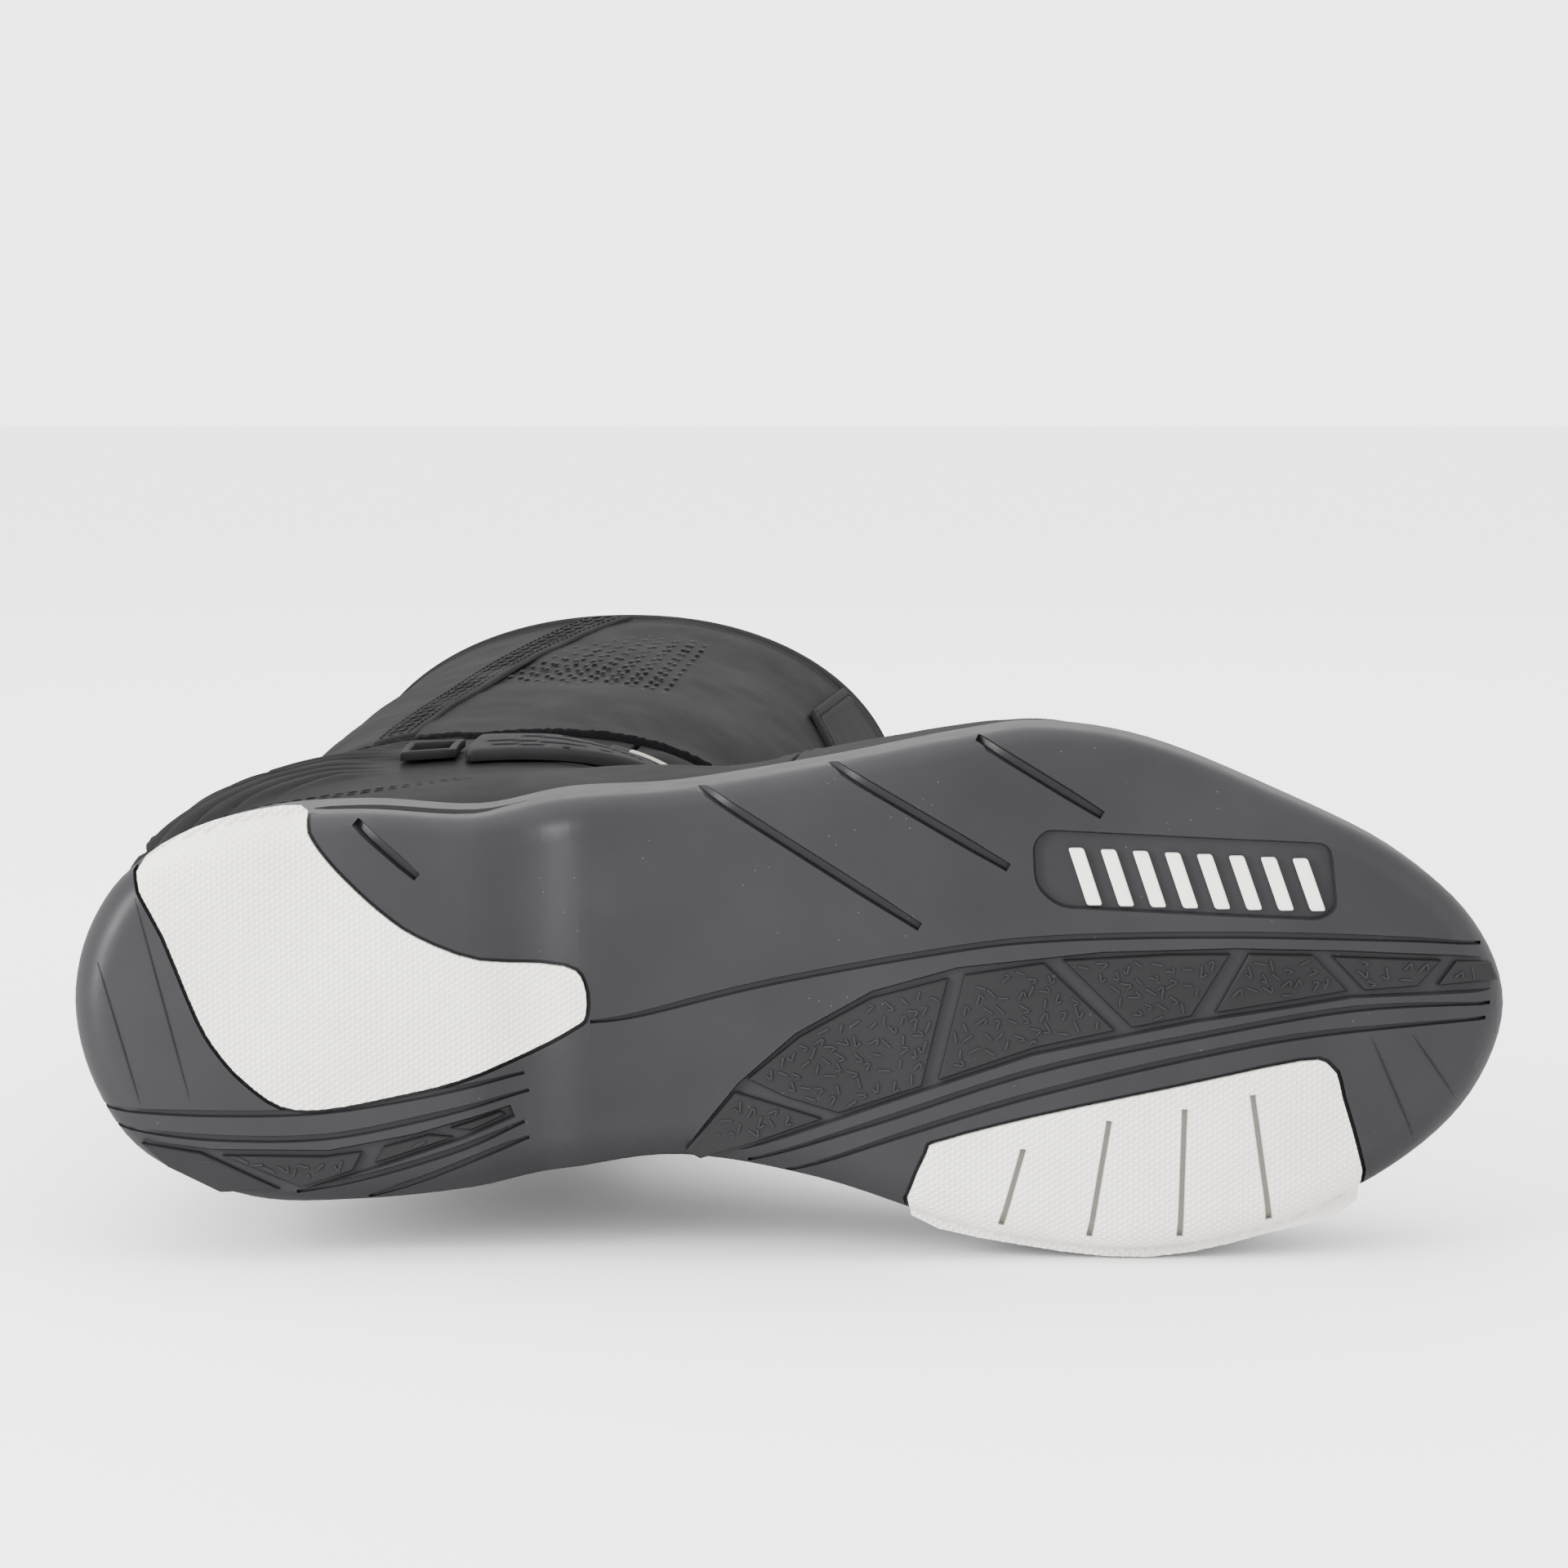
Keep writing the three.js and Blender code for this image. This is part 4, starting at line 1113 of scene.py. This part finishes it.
depths = {"leather": 1.0, "wall": 2.0, "overlay": 3.0, "overlayWall": 1.9, "plate": 4.6, "lining": -3.1,
          "liningWall": 2.2, "bed": -5.65, "bedWall": 3.5}


def panel(name, turns, rows, body, relief=None, top=None, thick=None, material="leather", slot="leather",
          stitched="", nodes=None, **more):
    top = depths["leather"] if top is None else top
    thick = depths["wall"] if thick is None else thick
    piece = skinPiece(name, turns, rows, top, thick, relief, **more)
    finished(piece, body, materials[material], (name,) if nodes is None else nodes, 50)
    if stitched:
        threads.setdefault(body, []).extend(hemStitches(turns, rows, top + 0.12, sides=stitched))
    return piece


threads = {}


def bellowsFolds(turn, s, u, v, width, length, count=5, height=2.0):
    # padded ribs side by side
    ends = softStep(0, 0.06, np.minimum(u, 1 - u)) * softStep(0, 0.06, np.minimum(v, 1 - v))
    return height * ends * (np.abs(np.sin(math.pi * v * count)) ** 0.55 - 0.35)


def fanRibs(turn, s, u, v, width, length):
    # padded ribs that start together behind the guard and spread round the heel
    back = np.where(turn > 0, turn - 360, turn)
    spread = 0.26 + 0.30 * softStep(-98, -180, back) + 0.1 * softStep(-180, -262, back)
    slope = 9.65 - 0.9 * softStep(-100, -180, back) + 0.9 * softStep(-180, -262, back)
    ribs = np.abs(np.sin(math.pi * (s - slope) / spread)) ** 0.5
    fade = softStep(-92, -104, back) * softStep(-268, -256, back) * softStep(8.55, 8.8, s)
    sideEnds = softStep(0, 3, np.minimum(u, 1 - u) * width + 1)
    ends = sideEnds * softStep(0, 2.2, np.minimum(v, 1 - v) * length + 0.6)
    return fade * ends * (2.3 * ribs - 1.0)


def slits(turn, s, u, v, width, length):
    # four tapering slits, one above the other, on a plate that thins towards its edges
    cuts = [((-82, 9.20), (-70, 9.06)), ((-83, 9.47), (-61, 9.13)), ((-78, 9.72), (-53, 9.26)),
            ((-71, 9.86), (-46, 9.42))]
    crown = 0.7 * np.sin(math.pi * u) ** 0.5 * np.sin(math.pi * v) ** 0.5 - 0.4
    drop = np.zeros_like(turn)
    for (t0, s0), (t1, s1) in cuts:
        run = np.clip((turn - t0) / (t1 - t0), 0, 1)
        across = (s - (s0 + (s1 - s0) * run)) * 33
        along = np.maximum(np.maximum(t0 - turn, turn - t1), 0) * 0.7
        half = 0.35 + 0.75 * (1 - run)
        drop = np.maximum(drop, 1 - softStep(half * 0.55, half * 1.25, np.hypot(across, along)))
    return crown - 2.1 * drop


def badgeRise(turn, s, u, v, width, length):
    # a domed badge with a line sunk along its middle
    line = 0.3 * (np.abs(v - 0.5) < 0.16) * (np.minimum(u, 1 - u) * width > 1.5)
    return 0.5 * np.sin(math.pi * v) ** 0.5 - line


def perforations(name, places, body, depth=1.0):
    # dark slots through the leather, each given by row, turn and slant, drawn as sunken lens shapes in
    # near-black: painted shade inside the holes
    grains = []
    for s, turn, slant in places:
        middle = Vector(bootPoints([s], [turn], [depth - 0.12])[0])
        up = Vector(bootPoints([s], [turn], [depth + 1])[0]) - middle
        ahead = Vector(bootPoints([s], [turn + 1], [depth])[0]) - middle
        climb = Vector(bootPoints([s + 0.02], [turn], [depth])[0]) - middle
        ahead, climb = ahead.normalized(), climb.normalized()
        along = ahead * math.cos(math.radians(slant)) + climb * math.sin(math.radians(slant))
        along = (along - up.normalized() * along.dot(up.normalized())).normalized()
        grains.append((middle, along * 1.15, up, 0.52))
    piece = grainsPiece(name, grains)
    return finished(piece, body, materials["hole"], (), 50)


def buildFoot():
    wrap, cap, vamp = 149.5, 2.485, 5.485
    panel("foot_lining", (-179.5, 179.5), (0.5, footTop), "foot", None, depths["lining"],
          depths["liningWall"], "textile", "textile", spacing=4, hem=0)
    panel("footbed", (150, 210), (1, 8), "foot", None, depths["bed"], depths["bedWall"], "textile", "foam",
          spacing=3, hem=0)
    panel("toe_cap", (-wrap, wrap), (0.15, cap), "foot", stitched="b")
    overlayEdge = lambda turn: 2 + 0.25 * np.cos(np.radians(turn * 1.2))
    panel("toe_overlay", (-75, 75), (0.9, overlayEdge), "foot", None, 2.4, 1.3, stitched="bcd")
    panel("vamp", (-wrap, wrap), (2.515, vamp), "foot", creasedVamp)
    panel("vamp_welt", (75, 105), (5.25, 5.75), "foot", None, depths["overlay"], depths["overlayWall"],
          stitched="ab", spacing=1.2)
    panel("instep_panel", (-59.5, 59.5), (5.515, footTop), "foot", stitched="a")
    panel("lateral_quarter", (-wrap, -60.5), (5.515, footTop), "foot", fanRibs, spacing=1.1, stitched="d")
    panel("medial_quarter", (60.5, wrap), (5.515, footTop), "foot", fanRibs, stitched="c")
    panel("heel_cover", (150.5, 209.5), (8.515, footTop), "foot", fanRibs, spacing=1.4, hem=0)
    for offset in (0, 0.11):
        path = [(8.75 + offset - 1.1 * float(softStep(-140, -92, turn)), turn)
                for turn in range(-172, -88, 4)]
        threads["foot"] += stitchesAlong(path, 1.0)
    guardTop = lambda turn: 10.15 - 0.45 * softStep(-76, -60, turn)
    panel("ankle_guard", (-87, -36), (8.9, guardTop), "foot", slits, depths["plate"], 3.0, "plastic",
          "guard_plastic", spacing=0.55, hem=0, wrinkle=0, roll=1.3)
    loop = [skinPiece("loop_bar", turns, rows, 3.9, 2.0, None, 0.8, 0, 0.6, 0)
            for turns, rows in (((-92.4, -88), (9.2, 9.32)), ((-92.4, -88), (9.74, 9.85)),
                                ((-92.4, -91.5), (9.2, 9.85)), ((-88.9, -88), (9.2, 9.85)))]
    finished(joined("guard_loop", loop), "foot", materials["plastic"], ("guard_loop",), 50)
    # a near-black sheet in the loop's opening: painted shade in the gap under the loop
    panel("loop_shade", (-91.8, -88.6), (9.3, 9.75), "foot", None, 2.1, 0.8, "hole", "guard_plastic",
          spacing=1.5, hem=0, wrinkle=0, nodes=())
    panel("guard_badge", (-57, -41), (9.78, 10.1), "foot", badgeRise, 3.6, 2.2, "badge", "badge",
          spacing=0.6, hem=0, wrinkle=0)
    panel("badge_tab", (-62, -56), (9.86, 10.2), "foot", None, 3.7, 2.2, "plastic", "guard_plastic",
          spacing=0.8, hem=0, wrinkle=0, nodes=())
    rows = [(5.95 + 0.21 * k + 0.04 * row, -69 - 4.2 * row + 0.8 * k, 12)
            for k in range(6) for row in range(2)]
    perforations("quarter_holes", rows, "foot")
    print("foot of the upper built")


def creasedVamp(turn, s, u, v, width, length):
    # two soft creases where the toes bend
    front = np.maximum(np.cos(np.radians(turn)), 0)
    creases = sum(depth * np.exp(-((s - place - 0.05 * np.sin(turn / 17)) / 0.05) ** 2)
                  for place, depth in ((3.6, 0.7), (4.15, 0.9), (4.7, 0.6)))
    return -creases * front


buildFoot()


def bending(piece):
    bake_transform(piece)
    return piece


def invertedPlaces(points, s, turn):
    # rows and turns of points seen from the inner side, found by small corrections
    target = np.array(points)
    s, turn = np.full(len(points), float(s)), np.full(len(points), float(turn))
    for _ in range(40):
        here = lastPoints(s, turn)[:, (0, 2)]
        byRow = (lastPoints(s + 0.01, turn)[:, (0, 2)] - here) / 0.01
        byTurn = (lastPoints(s, turn + 0.2)[:, (0, 2)] - here) / 0.2
        gap = target - here
        scale = byRow[:, 0] * byTurn[:, 1] - byRow[:, 1] * byTurn[:, 0]
        scale = np.where(np.abs(scale) < 1e-6, 1e-6, scale)
        s = np.clip(s + 0.6 * (gap[:, 0] * byTurn[:, 1] - gap[:, 1] * byTurn[:, 0]) / scale, 4, 12.5)
        turn = np.clip(turn + 0.6 * (byRow[:, 0] * gap[:, 1] - byRow[:, 1] * gap[:, 0]) / scale, 35, 150)
    return s, turn


ankleFlap = {  # its two long edges, seen from the inner side
    "left": ((76, 50, 0), (66, 72, 0), (56, 98, 0), (46, 122, 0), (40, 140, 0)),
    "right": ((118, 48, 0), (125.5, 54, 0), (127, 68, 0), (124, 118, 0), (126, 171, 0)),
    "width": 60, "length": 110, "step": 1.8, "top": 6.6, "under": 5.0,
}


def buildAnkle():
    soft = {"material": "softLeather", "slot": "flex_leather"}
    for name, turns, relief, spacing in (("front_bellows", (-59.5, 59.5), bellowsFolds, 1.4),
                                         ("lateral_gusset", (-119.5, -60.5), fanRibs, 1.1),
                                         ("medial_gusset", (60.5, 119.5), fanRibs, 1.6),
                                         ("rear_bellows", (120.5, 239.5), fanRibs, 1.1)):
        bending(panel(name, turns, (flexFoot, flexTop), None, relief, hem=0, spacing=spacing,
                                **soft))
    bending(panel("ankle_lining", (-179.5, 179.5), (flexFoot, flexTop), None, None, depths["lining"],
                  depths["liningWall"], "textile", "textile", spacing=4, hem=0))
    left, right = (curveThrough([Vector(p) for p in ankleFlap[side]], 6) for side in ("left", "right"))
    us, vs = (gridStops(ankleFlap[size], ankleFlap["step"], True) for size in ("width", "length"))
    places = np.linspace(0, len(left) - 1, len(left))
    sides = [[np.interp(vs * (len(left) - 1), places, [p[k] for p in side]) for k in (0, 1)]
             for side in (left, right)]
    u, v = (g.ravel() for g in np.meshgrid(us, np.arange(len(vs)), indexing="ij"))
    v = v.astype(int)
    flat = [lerp(sides[0][k][v], sides[1][k][v], u) for k in (0, 1)]
    s, turn = invertedPlaces(list(zip(*flat)), 9.5, 90)
    edge = np.minimum(np.minimum(u, 1 - u) * ankleFlap["width"],
                      np.minimum(vs[v], 1 - vs[v]) * ankleFlap["length"])
    rise = -0.7 * (1 - np.sqrt(1 - np.clip(1 - edge / 0.7, 0, 1) ** 2 * 0.98))
    rise = rise + 0.35 * (1 - softStep(3.6, 4.6, edge)) - 0.25 * np.exp(-((edge - 2.5) / 0.45) ** 2)
    outer = bootPoints(s, turn, ankleFlap["top"] + rise)
    inner = bootPoints(s, turn, np.full_like(s, ankleFlap["under"]))
    piece = closedGrid("ankle_flap", outer, inner, len(us), len(vs))
    finished(piece, None, materials["leather"], ("ankle_flap",), 50)
    bending(piece)
    # the flap has no cut of its own, so its flat size is its developed width and length
    middle = ((outer + inner) / 2).reshape(len(us), len(vs), 3)
    across = np.linalg.norm(np.diff(middle, axis=0), axis=2).sum(axis=0) * mm
    along = np.linalg.norm(np.diff(middle, axis=1), axis=2) * mm
    flat = (float(across.max()), float(along.sum(axis=1).max()))
    print("ankle built")


buildAnkle()


shaftTop = 15.735


def buildShaft():
    seam, tape = 0.5, 7
    panel("shaft_lining", (-179.5, 179.5), (shaftFoot, shaftTop), "shaft", None, depths["lining"],
          depths["liningWall"], "textile", "textile", spacing=4, hem=0)
    panel("shin_panel", (-17.85, 44.5), (shaftFoot, shaftTop), "shaft", stitched="cd")
    panel("lateral_panel", (lambda s: calfSeam(s) + seam, -18.15), (shaftFoot, shaftTop), "shaft", shaftSwell,
          spacing=1.5, wrinkle=0.5)
    panel("calf_panel", (135.5, lambda s: 360 + calfSeam(s) - seam), (shaftFoot, shaftTop), "shaft",
          shaftSwell, wrinkle=0.5)
    panel("medial_front_panel", (45.5, 90 - tape - seam), (shaftFoot, shaftTop), "shaft", stitched="d")
    panel("medial_rear_panel", (90 + tape + seam, 134.5), (shaftFoot, shaftTop), "shaft", stitched="c")
    panel("front_zip_tape", (90 - tape + seam, 90 - seam), (shaftFoot, shaftTop), "shaft", None,
          material="textile", slot="textile", spacing=1.5, hem=0, wrinkle=0)
    panel("rear_zip_tape", (90 + seam, 90 + tape - seam), (shaftFoot, shaftTop), "shaft", None,
          material="textile", slot="textile", spacing=1.5, hem=0, wrinkle=0)
    band = (lambda s: calfSeam(s) - 4.5, lambda s: calfSeam(s) + 4.5)
    panel("calf_seam_band", band, (11.55, 15.7), "shaft", None, 2.3, 1.2, "softLeather", spacing=1.2, hem=0,
          wrinkle=0.4)
    for offset, zigzag in ((-3.1, 0), (-1.1, 0.9), (1.1, 0.9), (3.1, 0)):
        path = [(s, float(calfSeam(s)) + offset) for s in np.linspace(11.6, 15.65, 14)]
        threads["shaft"] += stitchesAlong(path, 2.45, zigzag=zigzag)
    panel("shin_overlay", (-38, 38), (lambda turn: 14.15 + 0.35 * (np.abs(turn) / 38) ** 4, 15.6), "shaft",
          None, depths["overlay"] - 0.4, 1.4, stitched="acd", spacing=1.4)
    panel("hook_patch", (60, 75), (13, 15), "shaft", None, 3.2, 1.4, "pile", "pile", spacing=1.4, hem=0,
          wrinkle=0.5)
    holes = []
    for line in range(8):
        x0, z0, x1, z1 = (lerp(a, b, line / 7) for a, b in ((80, 110), (228, 188), (97, 129), (274, 309)))
        count = int((z1 - z0) / 6.4)
        for k in range(count):
            for side in (-1.3, 1.3):
                x, z = lerp(x0, x1, k / count) + side, lerp(z0, z1, k / count) - side
                holes.append((*shaftPlace(x, z), 62))
    perforations("shaft_holes", holes, "shaft")
    hem()
    collar()
    print("shaft built")


def shaftPlace(x, z):
    # row and turn of a point on the outer side of the shaft
    s = float(np.interp(z, (169, 204, 250, 293, 318), (12, 13, 14, 15, 16)))
    back, front = lerp(16, 32, (z - 150) / 172), lerp(145, 181, (z - 180) / 140)
    share = 2 * (x - back) / (front - back) - 1
    return s, -math.degrees(math.acos(math.copysign(abs(share) ** 1.06, share)))


def shaftSwell(turn, s, u, v, width, length):
    # long lazy folds that run round the shaft
    folds = np.sin(s * 5.1 + turn * 0.02) * 0.25 + np.sin(s * 2.3 - turn * 0.05) * 0.5
    return folds * softStep(0, 0.15, np.minimum(v, 1 - v))


def hem():
    # the raw, slightly frayed lower edge of the shaft
    turns = np.arange(-126, -24, 0.8)
    draw = random.Random(5)
    rings = []
    for turn in turns:
        s = float(shaftFoot(turn)) + 0.03
        wobble = draw.uniform(-0.35, 0.35)
        rings.append([Vector(bootPoints([s + out * 0.022 + wobble * 0.01], [turn],
                                        [1.6 + wobble * 0.5 + up])[0])
                      for out, up in ((-1, -1.6), (1, -1.4), (1.4, 0.2), (0.2, 0.8), (-1.2, 0.3))])
    piece = ringsPiece("raw_hem", rings)
    finished(piece, "shaft", materials["pile"], (), 60)


def collar():
    # a padded, turned-over top edge
    section = [(15.76, 1.5), (15.84, 2.1), (15.94, 2.0), (16.0, 1.0), (16.0, -1.2), (16.0, -3.4),
               (15.96, -4.8), (15.86, -5.3), (15.77, -5.0), (15.755, -3.0), (15.755, 0.0)]
    turns = np.arange(0, 360, 3.0)
    points, faces = [], []
    for turn in turns:
        for s, depth in section:
            points.append(Vector(bootPoints([s], [turn], [depth])[0]))
    count = len(section)
    for r in range(len(turns)):
        for k in range(count):
            a, b = r * count + k, r * count + (k + 1) % count
            on = ((r + 1) % len(turns)) * count
            faces.append((a, b, on + (k + 1) % count, on + k))
    piece = outwards(meshPiece("collar", points, faces))
    applied(piece, "SUBSURF", levels=1, render_levels=1)
    finished(piece, "shaft", materials["softLeather"], ("collar",), 60)


buildShaft()


def zipPlace(s, across, out):
    base = bootPoints([s], [90], [out])[0]
    ahead = bootPoints([s], [91], [out])[0] - base
    return Vector(base + ahead / np.linalg.norm(ahead) * across)


def patchSize(turns, rows, depth):
    # developed width and length, in metres, of a patch at some depth outside the last
    around = bootPoints(np.full(60, sum(rows) / 2), np.linspace(*turns, 60), np.full(60, depth))
    along = bootPoints(np.linspace(*rows, 60), np.full(60, sum(turns) / 2), np.full(60, depth))
    return tuple(float(np.sum(np.linalg.norm(np.diff(line, axis=0), axis=1))) * mm
                 for line in (around, along))


def buildZip():
    teeth = []
    rows, turns, run = surfaceLine([(11.5, 90), (15.5, 90)], 0.5)
    count = int(run / 1.15)
    for k in range(count):
        s = float(np.interp(k * 1.15, np.linspace(0, run, len(rows)), rows))
        side = 1 if k % 2 else -1
        base, up = zipPlace(s, side * 0.55, 1.95), zipPlace(s, side * 0.55, 2.95)
        half = (zipPlace(s, side * 0.55 + 1.45, 1.95) - base)
        teeth.append((base, half, up - base, 0.55))
    chain = grainsPiece("zip_chain", teeth)
    finished(chain, "shaft", materials["metal"], ("zip_chain",), 50)
    for name, kind in (("zip_slider", "slider"), ("zip_pull", "pull")):
        node = frame["nodes"][name]
        node.data.materials.clear()
        node.data.materials.append(materials["metal"])
    flapTurns, flapRows = (60, 127.5), (12, 15.5)
    hingeFall = lambda turn, s, u, v, width, length: -5.4 * softStep(0.84, 1.0, u)
    flap = panel("closure_flap", flapTurns, flapRows, "flap", hingeFall, 8.6, 1.6, stitched="c", spacing=1.8,
                 follow=1)
    for s in (flapRows[0] + 0.08, flapRows[1] - 0.08):
        threads["flap"] += stitchesAlong([(s, turn) for turn in range(62, 116, 3)], 8.6)
    patch = panel("loop_patch", (61, 75), (13, 15), "flap", None, 6.65, 1.4, "pile", "pile", spacing=1.4,
                  hem=0, wrinkle=0)
    patchSize(flapTurns, flapRows, 7.8)
    print("zip and flap built")


buildZip()
for body, grains in threads.items():
    finished(grainsPiece("stitches_" + body, grains), body, materials["thread"], (), 50)
